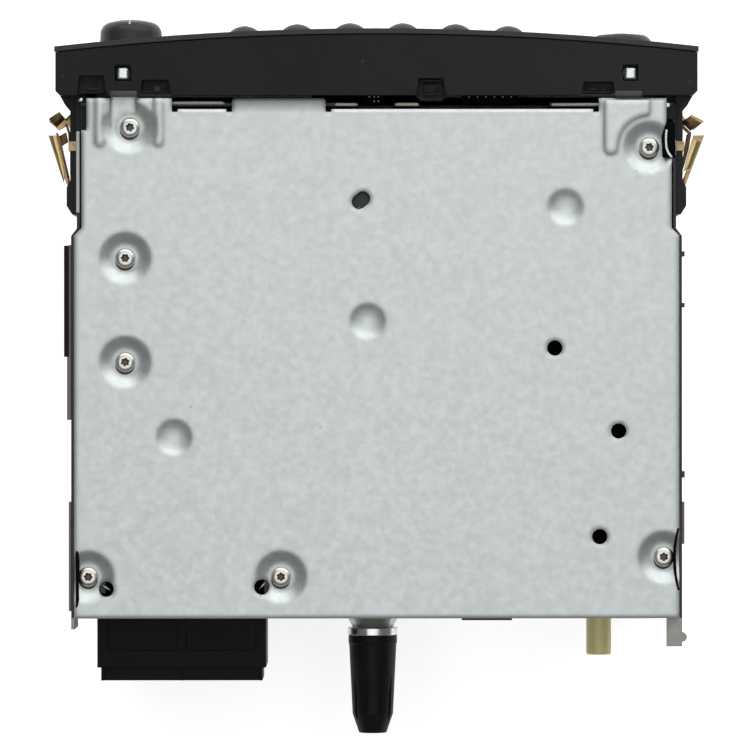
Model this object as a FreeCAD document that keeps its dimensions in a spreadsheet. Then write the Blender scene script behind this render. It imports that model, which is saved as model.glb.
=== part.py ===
import FreeCAD, Part
import math
import os
import re

import Sketcher

# Car CD player, double height, in millimetres.
# X runs to the right and Z up as seen from the front, and Y runs from the front to the rear.
# The origin is on the underside of the bottom cover, in the middle of its width and of the casing's depth.

DOC = FreeCAD.newDocument("car_cd_player")
V = FreeCAD.Vector

SIZES = (
    # Casing
    ("body_width", 178.0, "rear part of the covers"),
    ("body_depth", 153.0, "front tabs to rear edge of the top cover"),
    ("body_height", 100.0, "bottom cover to top cover, over all"),
    ("cover_sheet", 1.0, "sheet of the covers"),
    ("wall_sheet", 1.0, "sheet of the side walls, front plate and rear plate"),
    ("wall_drop", 2.5, "side wall's top edge below the top cover"),
    ("wall_inset", 1.7, "front part of a side wall, in from its rear part"),
    ("joggle_start", 38.2, "step of the side walls, behind the front tabs"),
    ("joggle_run", 2.2, "depth that the step takes"),
    ("tail_length", 3.3, "right side wall behind the rear plate"),
    ("foot_length", 8.4, "left side wall behind the rear plate"),
    ("foot_width", 4.6, "turned-in foot of the left side wall"),
    ("foot_bump", 1.4, "round bump of that foot, radius"),
    ("tail_height", 16.0, "side walls behind the rear plate"),
    ("tab_proud", 0.8, "small tabs bent out of the left side wall"),
    ("flange_height", 8.0, "turned edges of the covers"),
    ("flange_end", 5.0, "bottom cover's turned edges, in from its sides"),
    ("flange_back", 3.2, "top cover's front flange, behind its tabs"),
    ("relief_width", 1.7, "notch beside a tab"),
    ("relief_depth", 0.8, "notch beside a tab, behind the flange"),
    ("notch_gap", 0.4, "notches of the cover's flanges round the lugs"),
    ("corner_round", 1.2, "corners of the tabs"),
    ("front_step", 3.7, "cover's tabs, in from its rear part"),
    ("shoulder_step", 2.2, "cover behind its tabs, in from its rear part"),
    ("shoulder_back", 9.4, "shoulder behind the tabs' front edge"),
    ("right_tab_width", 25.1, "right tab of the cover"),
    ("middle_tab_right", 42.5, "right edge of the middle tab"),
    ("middle_tab_left", 15.0, "left edge of the middle tab"),
    ("left_tab_width", 19.9, "left tab of the cover"),
    ("plate_back", 1.3, "front plate behind the tabs' front edge"),
    ("plate_slot_below", 6.0, "front plate's slot below the disc's level"),
    ("plate_slot_above", 7.0, "front plate's slot above the disc's level"),
    ("dip_depth", 12.0, "lower parts of the front plate's top edge"),
    ("link_half", 20.0, "link between the boards, half width"),
    ("link_height", 7.0, "link between the boards"),
    ("free_gap", 0.4, "between pieces that don't touch"),
    # Folded brackets and the pad on the outsides of the side walls
    ("side_sheet", 0.8, "brackets"),
    ("side_thick", 1.3, "right bracket's thick part"),
    ("side_height", 38.0, "brackets"),
    ("side_rail", 6.0, "low rail of the right bracket"),
    ("side_foot", 43.0, "right bracket behind the tabs' front edge"),
    ("side_foot_end", 76.0, "right bracket's thick part behind the tabs' front edge"),
    ("side_front_end", 94.6, "end of that part behind the tabs' front edge"),
    ("side_rear", 118.8, "rear parts of the brackets behind the tabs' front edge"),
    ("side_end", 2.0, "right bracket before the rear edge"),
    ("side_left", 12.5, "left bracket, along the wall"),
    ("pad_sheet", 1.4, "dark pad on the right bracket"),
    # Screws and their pressed recesses
    ("dish_depth", 2.4, "recess for a cover screw"),
    ("dish_floor", 3.9, "flat floor of a recess, radius"),
    ("dish_rim", 7.8, "top of a recess, radius"),
    ("dish_flare", 0.3, "outside of a recess beyond its inside, radius"),
    ("screw_head", 2.65, "screw head radius"),
    ("head_height", 1.5, "screw head"),
    ("screw_shank", 1.4, "shank radius"),
    ("screw_length", 6.0, "shank under the head"),
    ("drive_radius", 1.3, "six-sided recess of the head, across corners"),
    ("drive_depth", 1.0, "six-sided recess of the head"),
    ("screw_gap", 0.2, "clearance hole round a shank"),
    ("thread_gap", 0.05, "bore of a lug round a shank"),
    ("lug_sheet", 1.2, "lug that takes a screw"),
    ("lug_reach", 5.0, "lug beyond its screw's axis"),
    # Dimples, holes, tongues and ribs of the top cover
    ("dimple_depth", 1.6, "round dimple"),
    ("dimple_radius", 5.5, "round dimple's rim"),
    ("sight_hole", 2.25, "small round hole, radius"),
    ("oval_long", 2.9, "slanted hole, half length"),
    ("oval_wide", 2.15, "slanted hole, end radius"),
    ("oval_lean", 40.0, "slanted hole, long way from the X axis, degrees"),
    ("tongue_drop", 2.0, "tongue below the cover"),
    ("tongue_width", 8.0, "tongue of the fascia"),
    ("tongue_reach", 10.6, "tongue in front of the tabs"),
    ("tongue_x", 74.5, "tongues from the middle"),
    ("catch_radius", 2.3, "bump of a tongue"),
    ("catch_sink", 0.7, "bump's centre under the tongue's face"),
    ("catch_forward", 7.4, "bump in front of the tabs"),
    ("rib_radius", 2.5, "rib of the right tab"),
    ("rib_sink", 1.8, "rib's axis under the cover's face"),
    ("rib_length", 14.5, "rib from the tab's front edge"),
    ("rib_edge", 3.9, "ribs from the tab's sides"),
    ("gusset_height", 0.8, "raised corner of the left tab"),
    ("gusset_ring", 9.5, "hollow curve of the raised corner, radius"),
    ("gusset_edge", 1.7, "raised corner from the tab's inner edge"),
    ("gusset_front", 0.6, "raised corner from the tab's front edge"),
    ("gusset_end", 1.9, "rounded end of the raised corner, radius"),
    # Fascia
    ("fascia_side", 5.4, "frame beyond the covers' sides"),
    ("fascia_over", 0.8, "frame above the top cover"),
    ("fascia_wall", 2.0, "frame"),
    ("fascia_depth", 20.5, "front of the panel to the cover's tabs, in the middle"),
    ("fascia_gap", 0.8, "frame's rear edge to the cover's tabs"),
    ("frame_chamfer", 1.3, "frame's rear corners"),
    ("notch_lean", 0.9, "sloping sides of the notches in the frame's rear edge"),
    ("catch_half", 2.4, "windows of the frame for the tongues' bumps, half width"),
    ("panel_radius", 850.0, "curve of the front"),
    ("panel_sheet", 1.5, "panel's visible rim"),
    ("panel_plug", 1.4, "panel's step inside the frame"),
    ("panel_over", 0.3, "rim beyond the frame"),
    ("parting", 0.35, "groove between panel and frame"),
    ("fit_gap", 0.2, "panel's step in the frame, lens in its window"),
    ("arm_bottom", 40.0, "side arms of the frame"),
    ("arm_drop", 4.0, "side arms below the top cover"),
    ("arm_sheet", 1.9, "side arms of the frame"),
    ("arm_gap", 0.1, "side arm to side wall"),
    ("arm_length", 34.0, "side arm behind the tabs' front edge"),
    ("lobe_start", 24.0, "thick end of a side arm"),
    ("lobe_sheet", 3.0, "thick end of a side arm"),
    ("post_width", 5.0, "posts that carry the front board"),
    ("post_edge", 14.4, "posts, in from the frame's sides"),
    ("post_height", 9.0, "posts from the frame's walls"),
    # Disc slot and path
    ("disc_drop", 22.6, "underside of a disc in the slot, below the top cover"),
    ("disc_sheet", 1.2, "disc"),
    ("slot_half", 62.0, "disc slot, half width"),
    ("slot_height", 5.6, "disc slot of the panel"),
    ("lip_sheet", 0.6, "each dust lip inside the slot"),
    # Display and front board
    ("window_half", 43.0, "display window, half width"),
    ("window_height", 28.0, "display window"),
    ("window_gap", 9.4, "display window below the disc's level"),
    ("lens_sheet", 2.4, "display lens"),
    ("display_margin", 2.0, "display round its window"),
    ("display_depth", 7.4, "display in front of its board"),
    ("board_sheet", 1.6, "circuit boards"),
    ("board_face", 13.0, "front board's face behind the panel's front, in the middle"),
    ("board_low", 5.0, "front board's lower edge"),
    ("board_top", 4.6, "front board's upper edge below the frame's top"),
    ("board_edge", 8.4, "front board, in from the frame's sides"),
    ("switch_size", 6.0, "push switch"),
    ("switch_depth", 4.0, "push switch in front of the board"),
    ("key_gap", 0.3, "round each key in the panel"),
    ("key_slack", 0.8, "key's foot to its switch"),
    # Keys
    ("preset_rise", 13.6, "row of six buttons above the disc's level"),
    ("preset_pitch", 15.6, "row of six buttons"),
    ("preset_radius", 4.7, "button"),
    ("preset_proud", 2.3, "button's crown in front of the panel"),
    ("preset_edge", 0.2, "button's rim in front of the panel"),
    ("collar", 0.9, "a key's collar behind the panel, radius and thickness"),
    ("stem_radius", 1.8, "a key's foot"),
    ("bar_drop", 15.0, "pair of long keys below the window"),
    ("bar_x", 22.0, "pair of long keys"),
    ("bar_width", 34.0, "long key"),
    ("bar_height", 8.0, "long key"),
    ("bar_proud", 1.2, "long and eject keys in front of the panel"),
    ("eject_edge", 18.4, "eject key's middle from the frame's side"),
    ("eject_width", 13.0, "eject key"),
    ("eject_height", 6.4, "eject key"),
    ("key_round", 0.8, "edges of long and eject keys"),
    # Volume knob
    ("knob_edge", 19.8, "knob and pad axes from the frame's sides"),
    ("knob_radius", 9.75, "knob"),
    ("knob_proud", 9.6, "knob in front of the panel"),
    ("knob_round", 3.6, "knob's front edge"),
    ("knob_turn", 2.6, "knob's rounded edge, in from its side"),
    ("knob_shoulder", 4.4, "knob's rounded edge, back from its top"),
    ("knob_crown", 0.95, "knob's crown above its rounded edge"),
    ("knob_lip", 0.25, "knob's flare at the panel"),
    ("well_depth", 1.3, "flat wells of knob and pad in the panel"),
    ("well_gap", 0.7, "wells round knob and pad"),
    ("knob_back", 0.5, "knob's back behind the panel's front"),
    ("shaft_radius", 3.0, "encoder shaft"),
    ("running_gap", 0.05, "shafts in their bores"),
    ("bush_radius", 4.4, "encoder bush"),
    ("encoder_size", 12.0, "encoder"),
    ("encoder_depth", 6.0, "encoder in front of the board"),
    ("plunger_length", 1.6, "encoder plunger"),
    ("plunger_back", 1.0, "plunger's end in front of the board"),
    # Tilting pad
    ("pad_radius", 9.4, "pad"),
    ("pad_proud", 4.7, "pad's inner edge in front of the panel"),
    ("pad_side", 2.5, "pad's outer edge in front of the panel"),
    ("pad_round", 4.0, "pad's rounded front"),
    ("centre_radius", 6.0, "centre button"),
    ("centre_gap", 0.5, "centre button in the pad"),
    ("centre_proud", 5.4, "centre button in front of the panel"),
    # Release springs
    ("spring_sheet", 0.5, "brass strip"),
    ("strip_height", 14.0, "brass strip"),
    ("spring_drop", 6.0, "strip's upper edge below the arm's top"),
    ("spring_root", 25.0, "leaf's hinge behind the tabs' front edge"),
    ("spring_run", 14.6, "leaf, along the side"),
    ("spring_flare", 6.0, "leaf's free end out from its hinge"),
    ("leaf_lip", 3.3, "folded top edge of the leaf"),
    # Rear
    ("plug_edge", 30.1, "main connector's middle from the covers' side"),
    ("plug_width", 51.0, "main connector"),
    ("plug_height", 26.4, "main connector"),
    ("plug_depth", 16.8, "main connector behind the rear edge"),
    ("shroud_inset", 1.1, "shroud inside the main connector's outline"),
    ("shroud_depth", 20.8, "shroud behind the rear edge"),
    ("shroud_wall", 1.6, "shroud"),
    ("plug_floor", 6.0, "sockets' floor behind the rear edge"),
    ("recess_depth", 0.8, "panels in the main connector's sides"),
    ("contact_size", 0.8, "contacts"),
    ("contact_length", 8.0, "contacts from the sockets' floor"),
    ("aerial_edge", 21.1, "aerial socket from the covers' side"),
    ("aerial_radius", 3.8, "aerial socket"),
    ("aerial_bore", 3.1, "aerial socket"),
    ("aerial_depth", 13.6, "aerial socket behind the rear edge"),
    ("guide_x", 1.1, "guide pin"),
    ("boss_radius", 8.8, "pressed boss round the guide pin"),
    ("boss_depth", 5.4, "pressed boss"),
    ("flange_radius", 7.6, "flange of the guide pin"),
    ("flange_sheet", 2.1, "flange of the guide pin"),
    ("stud_radius", 3.0, "guide pin inside the boot"),
    ("boot_radius", 7.4, "boot at its flange"),
    ("boot_tip", 6.2, "boot before its chamfer"),
    ("boot_nose", 4.2, "boot's end"),
    ("boot_length", 29.9, "boot"),
    ("boot_chamfer", 5.8, "boot's end, along the pin"),
    ("flute_radius", 1.1, "flutes of the boot"),
    # Boards inside
    ("main_level", 14.0, "main board's underside"),
    ("main_side", 7.0, "main board, in from the covers' sides"),
    ("main_margin", 4.0, "main board to the plates"),
    ("foot_radius", 4.0, "spacers of the main board"),
    ("lid_drop", 8.4, "board under the top cover, below its face"),
    ("chip_height", 1.6, "chips"),
    ("tuner_edge", 2.0, "tuner's shield from the main board's edge"),
    ("tuner_width", 40.0, "tuner's shield"),
    ("tuner_back", 20.0, "tuner's shield behind the tabs' front edge"),
    ("tuner_depth", 50.0, "tuner's shield"),
    ("tuner_height", 13.0, "tuner's shield"),
    ("amplifier_x", -4.0, "amplifier on the rear plate"),
    ("amplifier_width", 36.0, "amplifier on the rear plate"),
    ("amplifier_depth", 5.0, "amplifier on the rear plate"),
    ("amplifier_height", 20.0, "amplifier above the main board"),
    ("lid_half", 80.0, "board under the top cover, half width"),
    ("lid_front", 24.0, "board under the top cover, behind the tabs' front edge"),
    ("lid_end", 4.0, "board under the top cover, before the rear edge"),
    ("lid_foot", 3.4, "spacers of that board, radius"),
    # Disc mechanism
    ("base_drop", 9.4, "base plate's underside below the disc's level"),
    ("base_sheet", 1.0, "base plate"),
    ("base_half", 70.0, "base plate, half width over its flanges"),
    ("base_start", 6.5, "base plate's front edge behind the tabs"),
    ("base_end", 8.5, "base plate's rear edge before the rear plate's face"),
    ("base_flange", 18.0, "base plate's flanges"),
    ("mouth_half", 61.0, "base plate's cut-out for the roller, half width"),
    ("mouth_depth", 16.0, "base plate's cut-out for the roller"),
    ("roller_back", 7.5, "roller axis behind the base plate's front edge"),
    ("roller_radius", 3.8, "roller's ends"),
    ("roller_waist", 3.2, "roller's middle, radius"),
    ("roller_half", 58.0, "roller's rubber, half length"),
    ("axle_radius", 1.5, "shafts and pins of the mechanism"),
    ("gear_module", 0.8, "teeth"),
    ("gear_width", 3.0, "gears"),
    ("gear_side", 1.0, "gears from the base plate's flange"),
    ("roller_teeth", 16.0, "roller gear"),
    ("idler_teeth", 26.0, "idler gear"),
    ("pinion_teeth", 10.0, "motor pinion"),
    ("idler_angle", 22.0, "idler below the roller, degrees"),
    ("pinion_angle", 30.0, "pinion below the idler, degrees"),
    ("backlash", 0.35, "play of the teeth at the pitch circle"),
    ("motor_radius", 7.5, "loading motor"),
    ("motor_length", 22.0, "loading motor"),
    ("spindle_back", 74.0, "spindle behind the base plate's front edge"),
    ("table_radius", 15.0, "turntable"),
    ("table_sheet", 2.0, "turntable"),
    ("hub_radius", 7.4, "turntable's hub, in the disc's hole"),
    ("hub_height", 2.6, "turntable's hub above the disc's level"),
    ("rotor_radius", 12.0, "spindle motor"),
    ("stator_height", 3.0, "spindle motor above the base plate"),
    ("arm_rise", 8.6, "clamp arm's underside above the disc's level"),
    ("arm_back", 10.0, "clamp arm's pivot before the base plate's rear edge"),
    ("arm_half", 60.0, "clamp arm at its pivot, half width"),
    ("arm_nose", 20.0, "clamp arm's rounded end, radius"),
    ("clamper_radius", 14.0, "clamper"),
    ("clamper_height", 3.0, "clamper"),
    ("clamper_neck", 7.5, "clamper's neck in its arm, radius"),
    ("clamper_drop", 0.3, "clamper below and above its arm"),
    ("guide_sheet", 2.0, "disc guide"),
    ("guide_gap", 1.6, "disc guide above the disc's level"),
    ("guide_length", 24.0, "disc guide's pivot behind the base plate's front edge"),
    ("rod_x", 18.0, "guide rods from the middle"),
    ("rod_drop", 5.0, "guide rods and lead screw below the base plate's underside"),
    ("rod_back", 14.0, "front ends of the rods behind the spindle"),
    ("lug_thick", 1.2, "lugs that hold the rods"),
    ("screw_x", 26.0, "lead screw"),
    ("sled_back", 6.0, "sled's front face behind the rods' front ends"),
    ("sled_depth", 9.0, "sled"),
    ("sled_height", 6.0, "sled"),
    ("lens_radius", 2.5, "pickup lens"),
    ("lens_gap", 1.9, "pickup lens below the disc's level"),
    ("damper_side", 4.5, "dampers, in from the base plate's sides"),
    ("damper_start", 7.4, "front dampers behind the base plate's front edge"),
    ("damper_end", 8.0, "rear dampers before the base plate's rear edge"),
    ("damper_radius", 4.0, "dampers"),
    ("damper_height", 6.8, "dampers between their brackets and the base plate"),
    ("bracket_drop", 12.0, "brackets' flanges on the side walls"),
    ("bracket_half", 5.0, "brackets, half depth"),
    ("pin_over", 1.8, "brackets' pins above the base plate"),
)

# Places that follow from the sizes, each written after those that it uses
PLACES = (
    ("front_half", "body_width/2 - front_step", "half width of the cover at its tabs"),
    ("shoulder_half", "body_width/2 - shoulder_step", "half width of the cover behind its tabs"),
    ("right_tab_inner", "front_half - right_tab_width", "inner edge of the right tab"),
    ("left_tab_inner", "left_tab_width - front_half", "inner edge of the left tab"),
    ("fascia_width", "body_width + 2*fascia_side", "frame"),
    ("fascia_height", "body_height + fascia_over", "frame"),
    ("arm_top", "body_height - arm_drop", "top edge of the side arms"),
    ("post_x", "fascia_width/2 - post_edge", "posts from the middle"),
    ("board_half", "fascia_width/2 - board_edge", "front board, half width"),
    ("knob_x", "fascia_width/2 - knob_edge", "knob and pad axes from the middle"),
    ("eject_x", "fascia_width/2 - eject_edge", "eject key from the middle"),
    ("disc_level", "body_height - disc_drop", "underside of a disc in the slot"),
    ("window_top", "disc_level - window_gap", "display window"),
    ("window_bottom", "window_top - window_height", "display window"),
    ("preset_level", "disc_level + preset_rise", "row of six buttons"),
    ("bar_level", "window_bottom - bar_drop", "pair of long keys"),
    ("knob_level", "(window_top + window_bottom)/2", "knob and pad axes"),
    ("spring_top", "arm_top - spring_drop", "brass strip's upper edge"),
    ("spring_bottom", "spring_top - strip_height", "brass strip's lower edge"),
    ("plug_x", "body_width/2 - plug_edge", "main connector's middle"),
    ("plug_level", "body_height/2", "main connector's middle"),
    ("aerial_x", "aerial_edge - body_width/2", "aerial socket"),
    ("aerial_level", "body_height/2", "aerial socket"),
    ("guide_level", "body_height/2", "guide pin"),
    ("main_half", "body_width/2 - main_side", "main board, half width"),
    ("lid_level", "body_height - lid_drop", "underside of the board below the top cover"),
    ("base_level", "disc_level - base_drop", "base plate's underside"),
    ("base_front", "base_start - body_depth/2", "base plate's front edge"),
    ("base_rear", "body_depth/2 - base_end", "base plate's rear edge"),
    ("mouth_rear", "base_front + mouth_depth", "base plate's cut-out for the roller"),
    ("roller_y", "base_front + roller_back", "roller axis"),
    ("guide_pivot", "base_front + guide_length", "disc guide's pivot"),
    ("spindle_y", "base_front + spindle_back", "spindle axis"),
    ("arm_pivot", "base_rear - arm_back", "clamp arm's pivot"),
    ("arm_level", "disc_level + arm_rise", "clamp arm's underside"),
    ("rod_level", "base_level - rod_drop", "guide rods and lead screw"),
    ("rod_start", "spindle_y + rod_back", "front ends of the rods"),
    ("sled_start", "rod_start + sled_back", "sled's front face"),
    ("lens_top", "disc_level - lens_gap", "pickup lens"),
    ("damper_x", "base_half - damper_side", "dampers from the middle"),
    ("damper_front", "base_front + damper_start", "front dampers"),
    ("damper_rear", "base_rear - damper_end", "rear dampers"),
    ("bracket_level", "base_level - damper_height", "brackets under the dampers"),
)

SHEET = DOC.addObject("Spreadsheet::Sheet", "sizes")
ROWS = [(alias, str(number), note) for alias, number, note in SIZES]
ROWS += [(alias, "=" + text, note) for alias, text, note in PLACES]
for row, (alias, content, note) in enumerate(ROWS, start=1):
    SHEET.set(f"A{row}", alias)
    SHEET.set(f"B{row}", content)
    SHEET.setAlias(f"B{row}", alias)
    SHEET.set(f"C{row}", note)
DOC.recompute()

NAMES = {alias for alias, content, note in ROWS}
WORD = re.compile(r"[A-Za-z_]\w*")

# Planes that many pieces share, as expressions
FRONT = "(-body_depth/2)"
REAR = "(body_depth/2)"
WALL = "(body_width/2)"
PANEL = f"({FRONT} - fascia_depth)"
CURVE = f"({PANEL} + panel_radius)"
BOARD = f"({PANEL} + board_face)"
SWITCH = f"({BOARD} - switch_depth)"
COVER = "(body_height - cover_sheet)"
LUG_TOP = "(body_height - dish_depth - cover_sheet)"
LOW_LUG = "(dish_depth + cover_sheet)"
PLATE = f"({FRONT} + plate_back)"
BASE_TOP = "(base_level + base_sheet)"
ROLLER_Z = "(disc_level - roller_radius)"
FAR = 400

# Screws of the top cover and of the bottom cover: x, y behind the tabs, and the side wall that takes each,
# 0 for the rear plate. The front ones stand before the walls' step.
TOP_SCREWS = (
    (f"({WALL} - 16.4)", "8.5", 1),
    (f"({WALL} - 15)", "47", 1),
    (f"({WALL} - 15)", "77.6", 1),
    (f"({WALL} - 4.1)", "(body_depth - 12.2)", 1),
    ("28.2", "(body_depth - 12.2)", 0),
    (f"(8.7 - {WALL})", "14.4", -1),
    (f"(4.5 - {WALL})", "(body_depth - 18)", -1),
)
LOW_SCREWS = (
    (f"({WALL} - 15)", "20", 1),
    (f"({WALL} - 15)", "(body_depth - 20)", 1),
    (f"(15 - {WALL})", "20", -1),
    (f"(15 - {WALL})", "(body_depth - 20)", -1),
)
FRONT_SCREWS = (TOP_SCREWS[0], TOP_SCREWS[5], LOW_SCREWS[0], LOW_SCREWS[2])
LID_SCREWS = (TOP_SCREWS[1], TOP_SCREWS[2], TOP_SCREWS[3], TOP_SCREWS[4], TOP_SCREWS[6])

# Dimples, small holes and the slanted hole of the top cover: x, and y behind the tabs
DIMPLES = (("-55.6", "32"), ("2.6", "65.6"), ("59.6", "99.7"))
SIGHT_HOLES = (
    ("-52.4", "73.5"),
    ("-71.2", "97.9"),
    ("-65.6", "(body_depth - 24)"),
    ("33.8", "(body_depth - 9.2)"),
    (f"({WALL} - 9.4)", "(body_depth - 8.6)"),
)
OVAL = ("4.6", "30")


def formula(text):
    """The expression with each size's name led by its sheet's."""

    def lead(found):
        word = found.group(0)
        return "sizes." + word if word in NAMES else word

    return WORD.sub(lead, str(text))


def value(text):
    """What an expression comes to with the sizes as they are."""
    return float(SHEET.evalExpression(formula(text)))


def bind(thing, path, text):
    """Ties a property to an expression."""
    thing.setExpression(path, formula(text))


def place(thing, x="0", y="0", z="0"):
    """Ties a thing's place to three expressions."""
    for axis, text in zip("xyz", (x, y, z)):
        bind(thing, f"Placement.Base.{axis}", text)


def new(kind, name):
    """A document object whose label is its name."""
    thing = DOC.addObject(kind, name)
    thing.Label = name
    return thing


TURN = {
    "x": FreeCAD.Rotation(V(0, 1, 0), 90),
    "y": FreeCAD.Rotation(V(1, 0, 0), -90),
    "z": FreeCAD.Rotation(),
}


def box(name, x, y, z):
    """A block between two planes on each axis."""
    block = new("Part::Box", name)
    for side, (low, high) in zip(("Length", "Width", "Height"), (x, y, z)):
        bind(block, side, f"({high}) - ({low})")
    place(block, x[0], y[0], z[0])
    return block


def bar(name, axis, centre, span, radius, end_radius=None):
    """A round bar or cone along an axis, between two planes."""
    if end_radius is None:
        thing = new("Part::Cylinder", name)
        bind(thing, "Radius", radius)
    else:
        thing = new("Part::Cone", name)
        bind(thing, "Radius1", radius)
        bind(thing, "Radius2", end_radius)
    bind(thing, "Height", f"({span[1]}) - ({span[0]})")
    thing.Placement = FreeCAD.Placement(V(), TURN[axis])
    spot = dict(zip([letter for letter in "xyz" if letter != axis], centre))
    spot[axis] = span[0]
    place(thing, **spot)
    return thing


def ball(name, x, y, z, radius):
    """A sphere."""
    thing = new("Part::Sphere", name)
    bind(thing, "Radius", radius)
    place(thing, x, y, z)
    return thing


def fuse(name, *things):
    """One solid from several that meet."""
    whole = new("Part::MultiFuse", name)
    whole.Shapes = list(things)
    whole.Refine = True
    return whole


def group(name, *things):
    """Separate solids under one name."""
    whole = new("Part::Compound", name)
    whole.Links = list(things)
    return whole


def cut(name, base, *tools):
    """The base without its tools."""
    rest = new("Part::Cut", name)
    rest.Base = base
    rest.Tool = tools[0] if len(tools) == 1 else group(name + "_tools", *tools)
    rest.Refine = True
    return rest


def common(name, *things):
    """What several solids share."""
    shared = new("Part::MultiCommon", name)
    shared.Shapes = list(things)
    shared.Refine = True
    return shared


def arc_through(start, end, radius):
    """A circular edge from start to end, and whether it runs the positive way.

    A negative radius bends it to the right.
    """
    chord = end - start
    half = chord.Length / 2
    reach = math.sqrt(max(radius * radius - half * half, 0.0))
    side = V(-chord.y, chord.x, 0).normalize() * math.copysign(reach, radius)
    centre = (start + end) / 2 + side
    first = math.atan2(start.y - centre.y, start.x - centre.x)
    last = math.atan2(end.y - centre.y, end.x - centre.x)
    positive = radius > 0
    if not positive:
        first, last = last, first
    if last < first:
        last += 2 * math.pi
    circle = Part.Circle(centre, V(0, 0, 1), abs(radius))
    return Part.ArcOfCircle(circle, first, last), positive


def draw_loop(sketch, points):
    """Closes points into a loop. Each is two expressions, and a third is the radius of the arc it starts."""
    spots = [V(value(point[0]), value(point[1]), 0) for point in points]
    edges = []
    for place_in_loop, point in enumerate(points):
        start = spots[place_in_loop]
        end = spots[(place_in_loop + 1) % len(points)]
        ends = (1, 2)
        if len(point) > 2:
            edge, positive = arc_through(start, end, value(point[2]))
            ends = (1, 2) if positive else (2, 1)
        else:
            edge = Part.LineSegment(start, end)
        number = sketch.addGeometry(edge)
        edges.append((number, ends))
        if len(point) > 2:
            held = sketch.addConstraint(Sketcher.Constraint("Radius", number, abs(value(point[2]))))
            bind(sketch, f"Constraints[{held}]", f"abs({point[2]})")
    for place_in_loop, point in enumerate(points):
        number, ends = edges[place_in_loop]
        before, before_ends = edges[place_in_loop - 1]
        sketch.addConstraint(Sketcher.Constraint("Coincident", before, before_ends[1], number, ends[0]))
        for kind, text in zip(("DistanceX", "DistanceY"), point):
            spot = Sketcher.Constraint(kind, -1, 1, number, ends[0], value(text))
            held = sketch.addConstraint(spot)
            bind(sketch, f"Constraints[{held}]", text)


PLANES = {
    "xy": (FreeCAD.Rotation(), V(0, 0, 1), "z"),
    "xz": (FreeCAD.Rotation(V(1, 0, 0), 90), V(0, 1, 0), "y"),
    "yz": (FreeCAD.Rotation(V(1, 1, 1), 120), V(1, 0, 0), "x"),
}


def prism(name, plane, points, span):
    """A profile in a plane, drawn out along the third axis between two levels."""
    turn, normal, axis = PLANES[plane]
    sketch = new("Sketcher::SketchObject", name + "_profile")
    sketch.Placement = FreeCAD.Placement(V(), turn)
    bind(sketch, f"Placement.Base.{axis}", span[0])
    draw_loop(sketch, points)
    solid = new("Part::Extrusion", name)
    solid.Base = sketch
    solid.DirMode = "Custom"
    solid.Dir = normal
    bind(solid, "LengthFwd", f"({span[1]}) - ({span[0]})")
    solid.Solid = True
    return solid


def turned(name, axis, at, profile):
    """A body turned about an axis through a point. The profile is radius and distance along the axis."""
    body = new("PartDesign::Body", name)
    planes = {feature.Role: feature for feature in body.Origin.OriginFeatures}
    sketch = body.newObject("Sketcher::SketchObject", name + "_profile")
    sketch.AttachmentSupport = (planes["XZ_Plane"], "")
    sketch.MapMode = "FlatFace"
    draw_loop(sketch, profile)
    revolution = body.newObject("PartDesign::Revolution", name + "_turned")
    revolution.Profile = sketch
    revolution.ReferenceAxis = (sketch, ["V_Axis"])
    revolution.Angle = 360
    body.Placement = FreeCAD.Placement(V(), TURN[axis])
    place(body, *at)
    return body


def padded(name, plane_role, offset, points, length, rotation=None, at=("0", "0", "0")):
    """A body padded from a profile on one of its own planes."""
    body = new("PartDesign::Body", name)
    planes = {feature.Role: feature for feature in body.Origin.OriginFeatures}
    sketch = body.newObject("Sketcher::SketchObject", name + "_profile")
    sketch.AttachmentSupport = (planes[plane_role], "")
    sketch.MapMode = "FlatFace"
    bind(sketch, "AttachmentOffset.Base.z", offset)
    draw_loop(sketch, points)
    pad = body.newObject("PartDesign::Pad", name + "_pad")
    pad.Profile = sketch
    bind(pad, "Length", length)
    if rotation is not None:
        body.Placement = FreeCAD.Placement(V(), rotation)
    place(body, *at)
    return body


def round_edges(body, radius, chosen):
    """Rounds the edges of a body that a test picks."""
    DOC.recompute()
    tip = body.Tip
    names = [f"Edge{number}" for number, edge in enumerate(tip.Shape.Edges, start=1) if chosen(edge)]
    fillet = body.newObject("PartDesign::Fillet", body.Label + "_round")
    fillet.Base = (tip, names)
    bind(fillet, "Radius", radius)
    return fillet


def copy_of(name, source, x, y, z, rotation=None):
    """A linked copy of a piece at another place."""
    link = new("App::Link", name)
    link.LinkedObject = source
    link.LinkTransform = False
    if rotation is not None:
        link.Placement = FreeCAD.Placement(V(), rotation)
    place(link, x, y, z)
    return link


def behind(distance):
    """A place behind the front edge of the cover's tabs."""
    return f"({FRONT} + {distance})"


def panel_face(x):
    """The panel's front surface at a distance from the middle."""
    return f"({CURVE} - sqrt(panel_radius^2 - ({x})^2))"


NODES = []


def keep(thing, name):
    """Gives a finished piece its name and puts it on the list of nodes."""
    thing.Label = name
    NODES.append((name, thing))
    return thing


# Screws: a domed head with a six-sided recess over a plain shank. Z is 0 under the head.


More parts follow.
